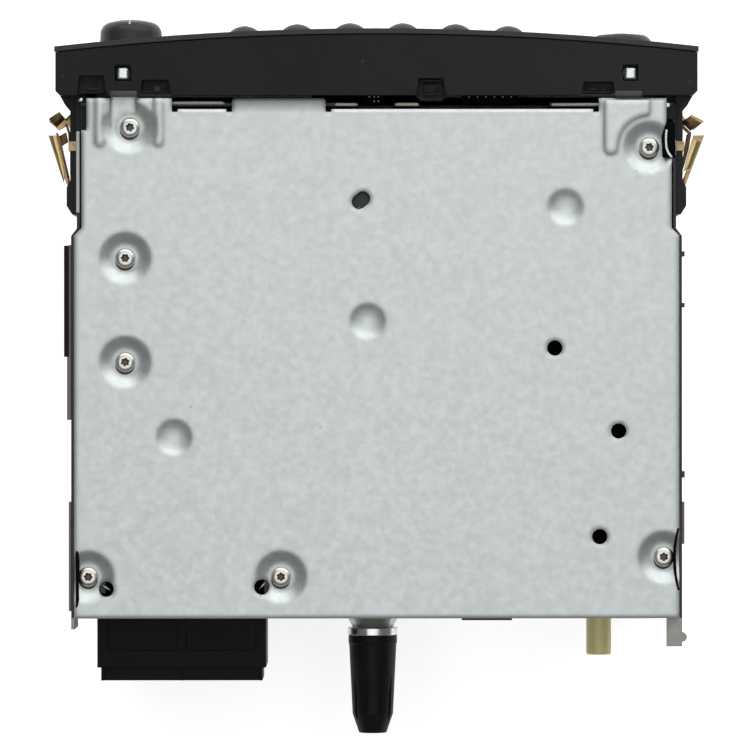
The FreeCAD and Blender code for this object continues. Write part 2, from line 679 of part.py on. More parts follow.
def screw(name):
    """One screw, head up."""
    body = turned(
        name,
        "z",
        ("0", "0", "0"),
        (
            ("0", "-screw_length"),
            ("screw_shank - 0.4", "-screw_length"),
            ("screw_shank", "-screw_length + 0.6"),
            ("screw_shank", "0"),
            ("screw_head", "0"),
            ("screw_head", "head_height*0.5"),
            ("screw_head - 0.8", "head_height"),
            ("0", "head_height"),
        ),
    )
    drive = body.newObject("Sketcher::SketchObject", name + "_drive")
    planes = {feature.Role: feature for feature in body.Origin.OriginFeatures}
    drive.AttachmentSupport = (planes["XY_Plane"], "")
    drive.MapMode = "FlatFace"
    bind(drive, "AttachmentOffset.Base.z", "head_height")
    half = "drive_radius/2"
    side = "drive_radius*0.866"
    draw_loop(
        drive,
        (
            ("drive_radius", "0"),
            (half, side),
            ("-" + half, side),
            ("-drive_radius", "0"),
            ("-" + half, "-" + side),
            (half, "-" + side),
        ),
    )
    pocket = body.newObject("PartDesign::Pocket", name + "_pocket")
    pocket.Profile = drive
    bind(pocket, "Length", "drive_depth")
    return body


# Casing


def dish_tools(name, x, y, face, up):
    """The outside and inside of a pressed recess in a cover whose outer face is at a level."""
    sign = "-" if up else "+"
    floor = f"({face} {sign} dish_depth)"
    back = f"({floor} {sign} cover_sheet)"
    near = f"({face} {sign} cover_sheet)"
    slope = "(dish_rim - dish_floor)/dish_depth"
    over = f"({face} {'+' if up else '-'} 0.5)"
    wide = f"dish_rim + 0.5*{slope}"
    outer_floor = "dish_floor + dish_flare"
    outer_rim = "dish_rim + dish_flare"
    if up:
        bump = bar(name + "_out", "z", (x, y), (back, near), outer_floor, outer_rim)
        hollow = bar(name + "_in", "z", (x, y), (floor, over), "dish_floor", wide)
    else:
        bump = bar(name + "_out", "z", (x, y), (near, back), outer_rim, outer_floor)
        hollow = bar(name + "_in", "z", (x, y), (over, floor), wide, "dish_floor")
    hole_span = (back, face) if up else (face, back)
    hole = bar(name + "_hole", "z", (x, y), hole_span, "screw_shank + screw_gap")
    return bump, hollow, hole


def top_cover():
    """Pressed sheet with recesses, dimples, turned edges, two lowered tongues, ribs and a gusset."""
    flange = "flange_back"
    relief = "(flange_back + relief_depth)"
    joggle_end = "(joggle_start + joggle_run)"
    outline = [
        ("right_tab_inner", FRONT),
        ("front_half", FRONT),
        ("front_half", behind("shoulder_back")),
        ("shoulder_half", behind("shoulder_back")),
        ("shoulder_half", behind("joggle_start")),
        (WALL, behind(joggle_end)),
        (WALL, REAR),
        (f"-{WALL}", REAR),
        (f"-{WALL}", behind(joggle_end)),
        ("-shoulder_half", behind("joggle_start")),
        ("-shoulder_half", behind("shoulder_back")),
        ("-front_half", behind("shoulder_back")),
        ("-front_half", FRONT),
        ("left_tab_inner", FRONT),
        ("left_tab_inner", behind(relief)),
        ("left_tab_inner + relief_width", behind(relief)),
        ("left_tab_inner + relief_width", behind(flange)),
        ("middle_tab_left - relief_width", behind(flange)),
        ("middle_tab_left - relief_width", behind(relief)),
        ("middle_tab_left", behind(relief)),
        ("middle_tab_left", f"{FRONT} + corner_round", "corner_round"),
        ("middle_tab_left + corner_round", FRONT),
        ("middle_tab_right - corner_round", FRONT, "corner_round"),
        ("middle_tab_right", f"{FRONT} + corner_round"),
        ("middle_tab_right", behind(relief)),
        ("middle_tab_right + relief_width", behind(relief)),
        ("middle_tab_right + relief_width", behind(flange)),
        ("right_tab_inner - relief_width", behind(flange)),
        ("right_tab_inner - relief_width", behind(relief)),
        ("right_tab_inner", behind(relief)),
    ]
    plate = prism("cover_plate", "xy", outline, (COVER, "body_height"))
    turned_down = ("body_height - flange_height", "body_height - 0.2*cover_sheet")
    front_strip = (behind(flange), behind("flange_back + cover_sheet"))
    side_strip = (behind(joggle_end), f"{REAR} - wall_sheet")
    flanges = [
        box(
            "flange_front_right",
            ("middle_tab_right + relief_width", "right_tab_inner - relief_width"),
            front_strip,
            turned_down,
        ),
        box(
            "flange_front_left",
            ("left_tab_inner + relief_width", "middle_tab_left - relief_width"),
            front_strip,
            turned_down,
        ),
        box("flange_right", (f"{WALL} - cover_sheet", WALL), side_strip, turned_down),
        box("flange_left", (f"-{WALL}", f"-{WALL} + cover_sheet"), side_strip, turned_down),
    ]
    bumps = []
    hollows = []
    holes = []
    for number, (x, y, side) in enumerate(TOP_SCREWS):
        bump, hollow, hole = dish_tools(f"dish_{number}", x, behind(y), "body_height", True)
        bumps.append(bump)
        hollows.append(hollow)
        holes.append(hole)
    dome = "((dimple_radius^2 + dimple_depth^2)/(2*dimple_depth))"
    for number, (x, y) in enumerate(DIMPLES):
        centre = f"body_height - dimple_depth + {dome}"
        bumps.append(ball(f"dimple_{number}_out", x, behind(y), centre, f"{dome} + cover_sheet"))
        hollows.append(ball(f"dimple_{number}_in", x, behind(y), centre, dome))
    edges = (
        (f"-{WALL}", WALL),
        (FRONT, REAR),
        (LUG_TOP, "body_height - 0.3*cover_sheet"),
    )
    pressed = common("cover_pressed", fuse("cover_bumps", *bumps), box("cover_space", *edges))
    for number, (x, y) in enumerate(SIGHT_HOLES):
        span = (LUG_TOP, "body_height + 1")
        holes.append(bar(f"sight_{number}", "z", (x, behind(y)), span, "sight_hole"))
    holes.append(slanted_hole())
    rib_places = ("(right_tab_inner + rib_edge)", "(front_half - rib_edge)")
    ribs = [rib(number, x) for number, x in enumerate(rib_places)]
    pieces = [plate, pressed, gusset(), *flanges, *ribs]
    for side in (1, -1):
        pieces += tongue(side)
    blank = fuse("cover_blank", *pieces)
    # The right tab's recess runs out along the tongue, so its end opens to the front
    run = box(
        "tongue_run",
        ("tongue_x - tongue_width/2", "tongue_x + tongue_width/2"),
        (f"{FRONT} - 1", behind(TOP_SCREWS[0][1])),
        ("body_height - tongue_drop", "body_height + 2"),
    )
    # Notches in the side flanges let the walls' lugs through
    notches = []
    for number, screw_spot in enumerate(TOP_SCREWS):
        x, y, side = screw_spot
        if side and screw_spot not in FRONT_SCREWS:
            inner = f"({WALL} - cover_sheet - notch_gap)"
            flange_x = (inner, FAR) if side > 0 else (-FAR, f"-{inner}")
            notches.append(
                box(
                    f"lug_notch_{number}",
                    flange_x,
                    (behind(f"{y} - lug_reach - notch_gap"), behind(f"{y} + lug_reach + notch_gap")),
                    ("body_height - flange_height - 1", LUG_TOP),
                )
            )
    keep(cut("top_cover", blank, *hollows, run, *holes, *notches), "top_cover")


def slanted_hole():
    """The oval hole that leans across the cover."""
    x, y = OVAL
    offset = "(oval_long - oval_wide)"
    low = "(body_height - 4*cover_sheet)"
    high = "(body_height + cover_sheet)"
    ends = [
        bar(
            f"oval_end_{number}",
            "z",
            (f"{x} + {sign}{offset}*cos(oval_lean)", f"{behind(y)} + {sign}{offset}*sin(oval_lean)"),
            (low, high),
            "oval_wide",
        )
        for number, sign in enumerate(("1*", "-1*"))
    ]
    middle = padded(
        "oval_middle",
        "XY_Plane",
        "0",
        (
            (f"-{offset}", "-oval_wide"),
            (offset, "-oval_wide"),
            (offset, "oval_wide"),
            (f"-{offset}", "oval_wide"),
        ),
        f"{high} - {low}",
        FreeCAD.Rotation(V(0, 0, 1), value("oval_lean")),
        (x, behind(y), low),
    )
    bind(middle, "Placement.Rotation.Angle", "oval_lean")
    return fuse("oval_hole", middle, *ends)


def rib(number, x):
    """A raised rib on the right tab, with a round end."""
    level = "body_height - rib_sink"
    length = bar(
        f"rib_{number}_bar",
        "y",
        (x, level),
        (FRONT, behind("rib_length - rib_radius*0.7")),
        "rib_radius",
    )
    end = ball(f"rib_{number}_end", x, behind("rib_length - rib_radius*0.7"), level, "rib_radius")
    above = box(
        f"rib_{number}_space",
        (f"{x} - rib_radius", f"{x} + rib_radius"),
        (FRONT, behind("rib_length + rib_radius")),
        (f"{COVER} + 0.2*cover_sheet", "body_height + rib_radius"),
    )
    return common(f"rib_{number}", fuse(f"rib_{number}_whole", length, end), above)


def gusset():
    """The raised corner of the left tab, hollowed round its screw's recess."""
    x, y, side = TOP_SCREWS[5]
    block = box(
        "gusset_block",
        (x, "left_tab_inner - gusset_edge"),
        (behind("gusset_front"), behind("rib_length")),
        (COVER, "body_height + gusset_height"),
    )
    end = bar(
        "gusset_end",
        "z",
        ("left_tab_inner - gusset_edge - gusset_end", behind("rib_length")),
        (COVER, "body_height + gusset_height"),
        "gusset_end",
    )
    ring = bar("gusset_cut", "z", (x, behind(y)), ("0", "body_height + 5"), "gusset_ring")
    return cut("gusset", fuse("gusset_blank", block, end), ring)


def tongue(side):
    """A lowered tongue with its catch, and the step that carries it."""
    name = "tongue_right" if side > 0 else "tongue_left"
    low = f"{side}*tongue_x - tongue_width/2"
    high = f"{side}*tongue_x + tongue_width/2"
    face = "(body_height - tongue_drop)"
    under = f"({face} - cover_sheet)"
    step = "cover_sheet" if side < 0 else str(TOP_SCREWS[0][1])
    plate = box(name, (low, high), (f"{FRONT} - tongue_reach", behind(step)), (under, face))
    web = box(
        name + "_step",
        (f"{low} - cover_sheet", f"{high} + cover_sheet") if side > 0 else (low, high),
        (FRONT, behind(step)),
        (under, f"{COVER} + 0.2*cover_sheet"),
    )
    catch = ball(
        name + "_catch",
        f"{side}*tongue_x",
        f"{FRONT} - catch_forward",
        f"{face} - catch_sink",
        "catch_radius",
    )
    space = box(
        name + "_catch_space",
        (low, high),
        (f"{FRONT} - tongue_reach", FRONT),
        (f"{face} - 0.3*cover_sheet", f"{face} + catch_radius"),
    )
    return [plate, web, common(name + "_catch_top", catch, space)]


def bottom_cover():
    """Flat sheet with turned-up edges and four pressed recesses for its screws."""
    inner = f"({WALL} - wall_inset)"
    front_edge = f"{PLATE} + wall_sheet"
    rear_edge = f"{REAR} - wall_sheet"
    half = (
        (inner, front_edge),
        (inner, behind("joggle_start")),
        (WALL, behind("joggle_start + joggle_run")),
        (WALL, rear_edge),
    )
    outline = [*half, *((f"-{x}", y) for x, y in reversed(half))]
    plate = prism("bottom_plate", "xy", outline, ("0", "cover_sheet"))
    rear_strip = box(
        "bottom_flange_rear",
        (f"-{inner} + flange_end", f"{inner} - flange_end"),
        (f"{REAR} - wall_sheet - cover_sheet", f"{REAR} - wall_sheet"),
        ("0", "flange_height"),
    )
    front_strip = box(
        "bottom_flange_front",
        (f"-{inner} + flange_end", f"{inner} - flange_end"),
        (f"{PLATE} + wall_sheet", f"{PLATE} + wall_sheet + cover_sheet"),
        ("0", "flange_height"),
    )
    bumps = []
    tools = []
    for number, (x, y, side) in enumerate(LOW_SCREWS):
        bump, hollow, hole = dish_tools(f"low_dish_{number}", x, behind(y), "0", False)
        bumps.append(bump)
        tools += [hollow, hole]
    blank = fuse("bottom_blank", plate, rear_strip, front_strip, *bumps)
    keep(cut("bottom_cover", blank, *tools), "bottom_cover")


def wall_lug(name, spot, level):
    """A lug turned in from a side wall, under a screw."""
    x, y, side = spot
    near = f"{x} - {side}*lug_reach"
    inset = "wall_inset" if spot in FRONT_SCREWS else "0"
    far = f"{side}*({WALL} - {inset} + 0.5*wall_sheet)"
    span_x = (near, far) if side > 0 else (far, near)
    front_y = f"{behind(y)} - lug_reach"
    return box(name, span_x, (front_y, f"{behind(y)} + lug_reach"), (f"{level} - lug_sheet", level))


# Small tabs bent out of the left side wall: start behind the tabs' front edge, and length
WALL_TABS = (("45", "1.5"), ("60.2", "1.3"), ("109.8", "1.9"))


def side_wall(side):
    """A folded side wall: its front part steps in, and lugs under the covers take their screws."""
    name = "side_wall_right" if side > 0 else "side_wall_left"
    outer = f"({WALL} + wall_sheet)"
    strip = [
        (f"{outer} - wall_inset - wall_sheet", f"{PLATE} + wall_sheet"),
        (f"{outer} - wall_inset", f"{PLATE} + wall_sheet"),
        (f"{outer} - wall_inset", behind("joggle_start")),
        (outer, behind("joggle_start + joggle_run")),
        (outer, REAR),
        (WALL, REAR),
        (WALL, behind("joggle_start + joggle_run")),
        (f"{outer} - wall_inset - wall_sheet", behind("joggle_start")),
    ]
    if side < 0:
        strip = [(f"-({x})", y) for x, y in strip]
    wall = prism(name + "_sheet", "xy", strip, ("0", "body_height - wall_drop"))
    pieces = [wall]
    bores = []
    for number, spot in enumerate(TOP_SCREWS):
        x, y, spot_side = spot
        if spot_side == side:
            pieces.append(wall_lug(f"{name}_lug_{number}", spot, LUG_TOP))
            span = (f"{LUG_TOP} - lug_sheet", LUG_TOP)
            bores.append(
                bar(f"{name}_bore_{number}", "z", (x, behind(y)), span, "screw_shank + thread_gap")
            )
    for number, spot in enumerate(LOW_SCREWS):
        x, y, spot_side = spot
        if spot_side == side:
            level = f"({LOW_LUG} + lug_sheet)"
            pieces.append(wall_lug(f"{name}_low_lug_{number}", spot, level))
            bores.append(
                bar(
                    f"{name}_low_bore_{number}",
                    "z",
                    (x, behind(y)),
                    (LOW_LUG, level),
                    "screw_shank + thread_gap",
                )
            )
    # The tail of the sheet behind the rear plate: a short one on the right, a turned-in foot on the left
    tail_length = "tail_length" if side > 0 else "foot_length"
    tail_x = (WALL, outer) if side > 0 else (f"-{outer}", f"-{WALL}")
    wall_top = "(body_height - wall_drop)"
    tail_z = (f"{wall_top} - tail_height", wall_top)
    pieces.append(box(name + "_tail", tail_x, (REAR, f"{REAR} + {tail_length}"), tail_z))
    if side < 0:
        pieces.append(
            box(
                name + "_foot",
                (f"-{outer}", f"-{outer} + foot_width"),
                (REAR, f"{REAR} + {tail_length}"),
                (f"{wall_top} - wall_sheet", wall_top),
            )
        )
        pieces.append(
            bar(
                name + "_bump",
                "z",
                (f"-{outer}", f"{REAR} + 0.67*foot_length"),
                (f"{wall_top} - 6", wall_top),
                "foot_bump",
            )
        )
        for number, (start, length) in enumerate(WALL_TABS):
            pieces.append(
                box(
                    f"{name}_tab_{number}",
                    (f"-{outer} - tab_proud", f"-{outer}"),
                    (behind(start), behind(f"{start} + {length}")),
                    (f"{wall_top} - 9", wall_top),
                )
            )
    blank = fuse(name + "_blank", *pieces)
    keep(cut(name, blank, *bores), name)


def front_plate():
    """Plate behind the fascia with its slot for the disc and its window for the board link."""
    inner = f"({WALL} - wall_inset)"
    sheet = (PLATE, f"{PLATE} + wall_sheet")
    blank = box("front_plate_sheet", (f"-{inner}", inner), sheet, ("0", COVER))
    through = (f"{PLATE} - 1", f"{PLATE} + wall_sheet + 1")
    slot_z = ("disc_level - plate_slot_below", "disc_level + plate_slot_above")
    link = "(link_half + 2*free_gap)"
    window_z = ("main_level", "main_level + board_sheet + link_height + free_gap")
    tools = [
        box("front_plate_slot", ("-slot_half - 3", "slot_half + 3"), through, slot_z),
        box("front_plate_window", (f"-{link}", link), through, window_z),
    ]
    # The top edge stands up to the cover in four places and is lower between them
    for number, (start, end) in enumerate(((-5.2, 5.4), (-51.0, -12.6))):
        dip = (f"{COVER} - dip_depth", "body_height")
        tools.append(box(f"front_plate_dip_{number}", (start, end), through, dip))
    for number, side in enumerate((1, -1)):
        x = f"{side}*tongue_x"
        reach = "(dish_rim + free_gap)"
        under = "body_height - tongue_drop - cover_sheet - free_gap"
        tools.append(
            box(f"front_plate_gap_{number}", (f"{x} - {reach}", f"{x} + {reach}"), through, (under, FAR))
        )
    keep(cut("front_plate", blank, *tools), "front_plate")


def rear_plate():
    """Rear plate with its cut-outs, the pressed boss of the guide pin and the lug of the rear screw."""
    sheet = (f"{REAR} - wall_sheet", REAR)
    blank = box("rear_sheet", (f"-{WALL}", WALL), sheet, ("0", COVER))
    centre = ("guide_x", "guide_level")
    boss_end = f"{REAR} + boss_depth"
    boss = bar("guide_boss", "y", centre, (REAR, boss_end), "boss_radius", "boss_radius - boss_depth/2")
    x, y, side = TOP_SCREWS[4]
    lug = box(
        "rear_lug",
        (f"{x} - lug_reach", f"{x} + lug_reach"),
        (f"{behind(y)} - lug_reach", f"{REAR} - 0.5*wall_sheet"),
        (f"{LUG_TOP} - lug_sheet", LUG_TOP),
    )
    through = (f"{REAR} - 12", f"{REAR} + 8")
    tools = [
        box(
            "rear_plug_hole",
            ("plug_x - plug_width/2 + 2", "plug_x + plug_width/2 - 2"),
            through,
            ("plug_level - plug_height/2 + 2", "plug_level + plug_height/2 - 2"),
        ),
        bar("rear_aerial_hole", "y", ("aerial_x", "aerial_level"), through, "aerial_radius - 1"),
        bar("rear_guide_hole", "y", centre, through, "stud_radius + thread_gap"),
        bar(
            "rear_lug_bore",
            "z",
            (x, behind(y)),
            (f"{LUG_TOP} - 3", "body_height"),
            "screw_shank + thread_gap",
        ),
    ]
    plate = cut("rear_plate", fuse("rear_blank", blank, boss, lug), *tools)
    keep(plate, "rear_plate")


def screws():
    """The screws of the top cover and of the bottom cover, copies of one pattern."""
    pattern = screw("screw_pattern")
    floor = "body_height - dish_depth"
    tops = [
        copy_of(f"cover_screw_{number}", pattern, x, behind(y), floor)
        for number, (x, y, side) in enumerate(TOP_SCREWS)
    ]
    down = FreeCAD.Rotation(V(1, 0, 0), 180)
    lows = [
        copy_of(f"bottom_screw_{number}", pattern, x, behind(y), "dish_depth", down)
        for number, (x, y, side) in enumerate(LOW_SCREWS)
    ]
    keep(group("casing_screws", *tops, *lows), "casing_screws")


def side_brackets():
    """Folded brackets on the outsides of the side walls, and the dark pad on the right one."""
    outer = f"({WALL} + wall_sheet)"
    top = "(body_height - wall_drop - 1.5)"
    low = f"({top} - side_height)"
    rail = f"({low} + side_rail)"
    plain = (outer, f"{outer} + side_sheet")
    thick = (outer, f"{outer} + side_thick")
    right = [
        box("bracket_front", thick, (behind("side_foot_end"), behind("side_front_end")), (low, top)),
        box("bracket_foot", plain, (behind("side_foot"), behind("side_foot_end")), (low, top)),
        box("bracket_rear", plain, (behind("side_rear"), f"{REAR} - side_end"), (low, top)),
        box("bracket_link", plain, (behind("side_front_end"), behind("side_rear")), (low, rail)),
    ]
    pad_x = (f"{outer} + side_sheet", f"{outer} + side_sheet + pad_sheet")
    pad_y = (behind("side_foot + 0.2"), behind("side_foot_end"))
    keep(box("side_pad", pad_x, pad_y, (f"{low} + 4", top)), "side_pad")
    left_x = (f"-{outer} - side_sheet", f"-{outer}")
    left_y = (behind("side_rear"), behind("side_rear + side_left"))
    left = box("side_bracket_left", left_x, left_y, (low, top))
    keep(group("side_brackets", fuse("side_bracket_right", *right), left), "side_brackets")


# Fascia


def panel_slice(name, front, back, half, low, high):
    """A slice of the curved panel between two depths behind its face."""
    block = box(name + "_block", (f"-{half}", half), (f"{PANEL} - 1", f"{PANEL} + 16"), (low, high))
    high = "fascia_height + 2"
    disc = bar(name + "_disc", "z", ("0", CURVE), ("-1", high), f"panel_radius - {front}")
    shell = common(name + "_front", block, disc)
    core = bar(name + "_core", "z", ("0", CURVE), ("-2", f"{high} + 1"), f"panel_radius - ({back})")
    return cut(name, shell, core)


# Notches of the frame's rear edge: right and left edge, and depth in front of the cover's tabs
NOTCHES = (
    ("tongue_x + 12.8", "tongue_x + 5.7", "6.6"),
    ("tongue_x - 5.6", "tongue_x - 13.3", "5.3"),
    ("-12.4", "-19.6", "5.8"),
    ("13.5 - tongue_x", "5 - tongue_x", "4.7"),
)


def fascia_frame():
    """Hollow frame with side arms, posts, windows for the catches and a notched rear edge."""
    half = "(fascia_width/2)"
    rim = "(panel_sheet + parting)"
    rear = f"({FRONT} - fascia_gap)"
    outline = (
        (f"-{half}", f"{PANEL} - 1"),
        (half, f"{PANEL} - 1"),
        (half, f"{rear} - frame_chamfer"),
        (f"{half} - frame_chamfer", rear),
        (f"-{half} + frame_chamfer", rear),
        (f"-{half}", f"{rear} - frame_chamfer"),
    )
    block = prism("frame_block", "xy", outline, ("0", "fascia_height"))
    disc = bar(
        "frame_disc", "z", ("0", CURVE), ("-1", "fascia_height + 1"), f"panel_radius - {rim}"
    )
    shell = common("frame_shell", block, disc)
    hollow = box(
        "frame_hollow",
        (f"-{half} + fascia_wall", f"{half} - fascia_wall"),
        (f"{PANEL} - 2", f"{FRONT} + 2"),
        ("fascia_wall", "fascia_height - fascia_wall"),
    )
    tube = cut("frame_tube", shell, hollow)
    pieces = [tube]
    for side in (1, -1):
        pieces += frame_arm(side)
        top_low = "fascia_height - fascia_wall - post_height"
        for level, y_end, z in (
            ("top", f"{rear} - 0.6", (top_low, "fascia_height - 0.5*fascia_wall")),
            ("top_end", PLATE, (top_low, "body_height - tongue_drop - cover_sheet - free_gap")),
            ("low", PLATE, ("0.5*fascia_wall", "fascia_wall + post_height")),
        ):
            x = f"{side}*post_x"
            pieces.append(
                box(
                    f"post_{level}_{'right' if side > 0 else 'left'}",
                    (f"{x} - post_width/2", f"{x} + post_width/2"),
                    (f"{BOARD} + board_sheet", y_end),
                    z,
                )
            )
    tools = []
    for number, side in enumerate((1, -1)):
        x = f"{side}*tongue_x"
        y = f"{FRONT} - catch_forward"
        tools.append(
            box(
                f"catch_window_{number}",
                (f"{x} - catch_half", f"{x} + catch_half"),
                (f"{y} - catch_half", f"{y} + catch_half"),
                ("fascia_height - fascia_wall - 1", "fascia_height + 1"),
            )
        )
        # The posts leave room for the tongues
        tools.append(
            box(
                f"tongue_room_{number}",
                (f"{x} - tongue_width/2 - free_gap", f"{x} + tongue_width/2 + free_gap"),
                (f"{FRONT} - tongue_reach - free_gap", f"{FRONT} + 1"),
                (
                    "body_height - tongue_drop - cover_sheet - free_gap",
                    "fascia_height - fascia_wall",
                ),
            )
        )
    for number, (high, low, depth) in enumerate(NOTCHES):
        deep = f"{FRONT} - {depth}"
        open_end = f"{rear} + 0.5"
        corners = (
            (f"{low} - notch_lean", open_end),
            (low, deep),
            (high, deep),
            (f"{high} + notch_lean", open_end),
        )
        through = ("fascia_height - fascia_wall - 0.5", "fascia_height + 1")
        tools.append(prism(f"notch_{number}", "xy", corners, through))
    keep(cut("fascia_frame", fuse("frame_blank", *pieces), *tools), "fascia_frame")


def frame_arm(side):
    """A side arm of the frame with its thick rounded end."""
    name = "arm_right" if side > 0 else "arm_left"
    half = "(fascia_width/2)"
    near = f"({WALL} + wall_sheet - wall_inset + arm_gap)"
    far = f"({near} + arm_sheet)"
    rear = f"({FRONT} - fascia_gap)"
    outline = (
        (near, f"{rear} - 3"),
        (f"{half} - 0.1", f"{rear} - 3"),
        (f"{half} - 0.4", f"{rear} - 1.4"),
        (f"{half} - 2.6", f"{rear} + 2.6"),
        (far, f"{rear} + 4.4"),
        (far, behind("lobe_start")),
        (f"{near} + lobe_sheet", behind("lobe_start + 2")),
        (f"{near} + lobe_sheet", behind("arm_length - 2.5")),
        (f"{near} + lobe_sheet - 1.6", behind("arm_length")),
        (near, behind("arm_length")),
    )
    points = [(f"{side}*({x})", y) for x, y in outline]
    return [prism(name, "xy", points, ("arm_bottom", "arm_top"))]


def front_panel():
    """Curved panel: its rim, the step inside the frame, and openings for slot, display and keys."""
    over = "(fascia_width/2 + panel_over)"
    inside = "(fascia_width/2 - fascia_wall - fit_gap)"
    face = panel_slice(
        "panel_face", "0", "panel_sheet", over, "0", "fascia_height + panel_over"
    )
    step = panel_slice(
        "panel_step",
        "panel_sheet*0.5",
        "panel_sheet + panel_plug",
        inside,
        "fascia_wall + fit_gap",
        "fascia_height - fascia_wall - fit_gap",
    )
    blank = fuse("panel_blank", face, step)
    through = (f"{PANEL} - 2", f"{PANEL} + 12")
    slot_z = ("disc_level + disc_sheet/2 - slot_height/2", "disc_level + disc_sheet/2 + slot_height/2")
    tools = [
        box("panel_slot", ("-slot_half", "slot_half"), through, slot_z),
        box(
            "panel_window",
            ("-window_half", "window_half"),
            through,
            ("window_bottom", "window_top"),
        ),
    ]
    # The mouth of the slot is bevelled above and below
    mouth = (
        (f"{PANEL} - 0.1", f"{slot_z[0]} - 1.6"),
        (f"{PANEL} + 3", slot_z[0]),
        (f"{PANEL} + 3", slot_z[1]),
        (f"{PANEL} - 0.1", f"{slot_z[1]} + 1.6"),
    )
    tools.append(prism("panel_mouth", "yz", mouth, ("-slot_half", "slot_half")))
    for number in range(6):
        x = f"({number - 2.5}*preset_pitch)"
        tools.append(
            bar(f"preset_hole_{number}", "y", (x, "preset_level"), through, "preset_radius + key_gap")
        )
    for name, x, z, width, height in bar_keys():
        tools.append(
            box(
                name + "_hole",
                (f"{x} - {width}/2 - key_gap", f"{x} + {width}/2 + key_gap"),
                through,
                (f"{z} - {height}/2 - key_gap", f"{z} + {height}/2 + key_gap"),
            )
        )
    well = panel_face("knob_x")
    for name, x, radius, bore in (
        ("knob", "knob_x", "knob_radius", "bush_radius + key_gap"),
        ("pad", "-knob_x", "pad_radius", "pad_radius - 1"),
    ):
        centre = (x, "knob_level")
        wells = (f"{PANEL} - 2", f"{well} + well_depth")
        tools.append(bar(name + "_well", "y", centre, wells, f"{radius} + well_gap"))
        tools.append(bar(name + "_bore", "y", centre, through, bore))
    keep(cut("front_panel", blank, *tools), "front_panel")


def bar_keys():
    """Name, place and size of the long keys and the eject key."""
    return (
        ("source_key", "-bar_x", "bar_level", "bar_width", "bar_height"),
        ("menu_key", "bar_x", "bar_level", "bar_width", "bar_height"),
        ("eject_key", "eject_x", "(disc_level + disc_sheet/2)", "eject_width", "eject_height"),
    )


def dust_lips():
    """Two soft lips inside the disc slot."""
    middle = "(disc_level + disc_sheet/2)"
    wide = ("-slot_half - 3", "slot_half + 3")
    bed = "panel_radius - panel_sheet - panel_plug"
    lips = []
    for name, edge, away in (
        ("lip_low", f"{middle} - slot_height/2", "-"),
        ("lip_top", f"{middle} + slot_height/2", "+"),
    ):
        near = f"{edge} {'+' if away == '-' else '-'} lip_sheet"
        far = f"{edge} {away} 4"
        z = (far, near) if away == "-" else (near, far)
        # Each lip is bedded on the panel's inner face, which is curved, so its front follows that curve
        block = box(name + "_block", wide, (f"{PANEL} - 1", f"{PANEL} + 9"), z)
        disc = bar(name + "_disc", "z", ("0", CURVE), ("0", "body_height"), bed)
        core = bar(name + "_core", "z", ("0", CURVE), ("0", "body_height"), f"{bed} - 1.2")
        lips.append(cut(name, common(name + "_front", block, disc), core))
    keep(group("dust_lips", *lips), "dust_lips")


def display():
    """The lens in its window and the display behind it on the front board."""
    lens = panel_slice(
        "lens",
        "0.3",
        "0.3 + lens_sheet",
        "(window_half - fit_gap)",
        "window_bottom + fit_gap",
        "window_top - fit_gap",
    )
    keep(lens, "display_lens")
    margin = "display_margin"
    module = box(
        "display",
        (f"-window_half - {margin}", f"window_half + {margin}"),
        (f"{BOARD} - display_depth", BOARD),
        (f"window_bottom - {margin}", f"window_top + {margin}"),
    )
    keep(module, "display")


def front_board():
    """Circuit board behind the panel, open round the path of the disc, and its push switches."""
    sheet = (BOARD, f"{BOARD} + board_sheet")
    high = ("board_low", "fascia_height - board_top")
    blank = box("front_board_sheet", ("-board_half", "board_half"), sheet, high)
    path = box(
        "front_board_path",
        ("-slot_half - 4", "slot_half + 4"),
        (f"{BOARD} - 1", f"{BOARD} + 3"),
        ("disc_level - 5", "disc_level + 6"),
    )
    keep(cut("front_board", blank, path), "front_board")
    places = [(f"{number - 2.5}*preset_pitch", "preset_level") for number in range(6)]
    places += [(x, z) for name, x, z, width, height in bar_keys()]
    places += [("-knob_x", "knob_level")]
    ring = "(pad_radius - 2)"
    places += [("-knob_x", f"knob_level + {ring}"), ("-knob_x", f"knob_level - {ring}")]
    half = "switch_size/2"
    switches = []
    for number, (x, z) in enumerate(places):
        size = half if number < 9 else "1.6"
        body = box(
            f"switch_{number}_case",
            (f"{x} - {size}", f"{x} + {size}"),
            (f"{BOARD} - 3.4", BOARD),
            (f"{z} - {size}", f"{z} + {size}"),
        )
        cap = bar(f"switch_{number}_cap", "y", (x, z), (SWITCH, f"{BOARD} - 3.2"), "1.3")
        switches.append(fuse(f"switch_{number}", body, cap))
    keep(group("key_switches", *switches), "key_switches")


def preset_buttons():
    """Six round crowned buttons in a row, each with a collar behind the panel and a foot over its switch."""
    crown = "((preset_radius^2 + (preset_proud - preset_edge)^2)/(2*(preset_proud - preset_edge)))"
    back = "(panel_sheet + panel_plug + 0.9)"
    for number in range(6):
        x = f"({number - 2.5}*preset_pitch)"
        face = panel_face(x)
        foot = f"({SWITCH} - key_slack - {face})"
        button = turned(
            f"preset_button_{number + 1}",
            "y",
            (x, face, "preset_level"),
            (
                ("0", "-preset_proud"),
                ("0", foot),
                ("stem_radius", foot),
                ("stem_radius", f"{back} + collar"),
                ("preset_radius + collar", f"{back} + collar"),
                ("preset_radius + collar", back),
                ("preset_radius", back),
                ("preset_radius", "-preset_edge", f"-{crown}"),
            ),
        )
        keep(button, f"preset_button_{number + 1}")


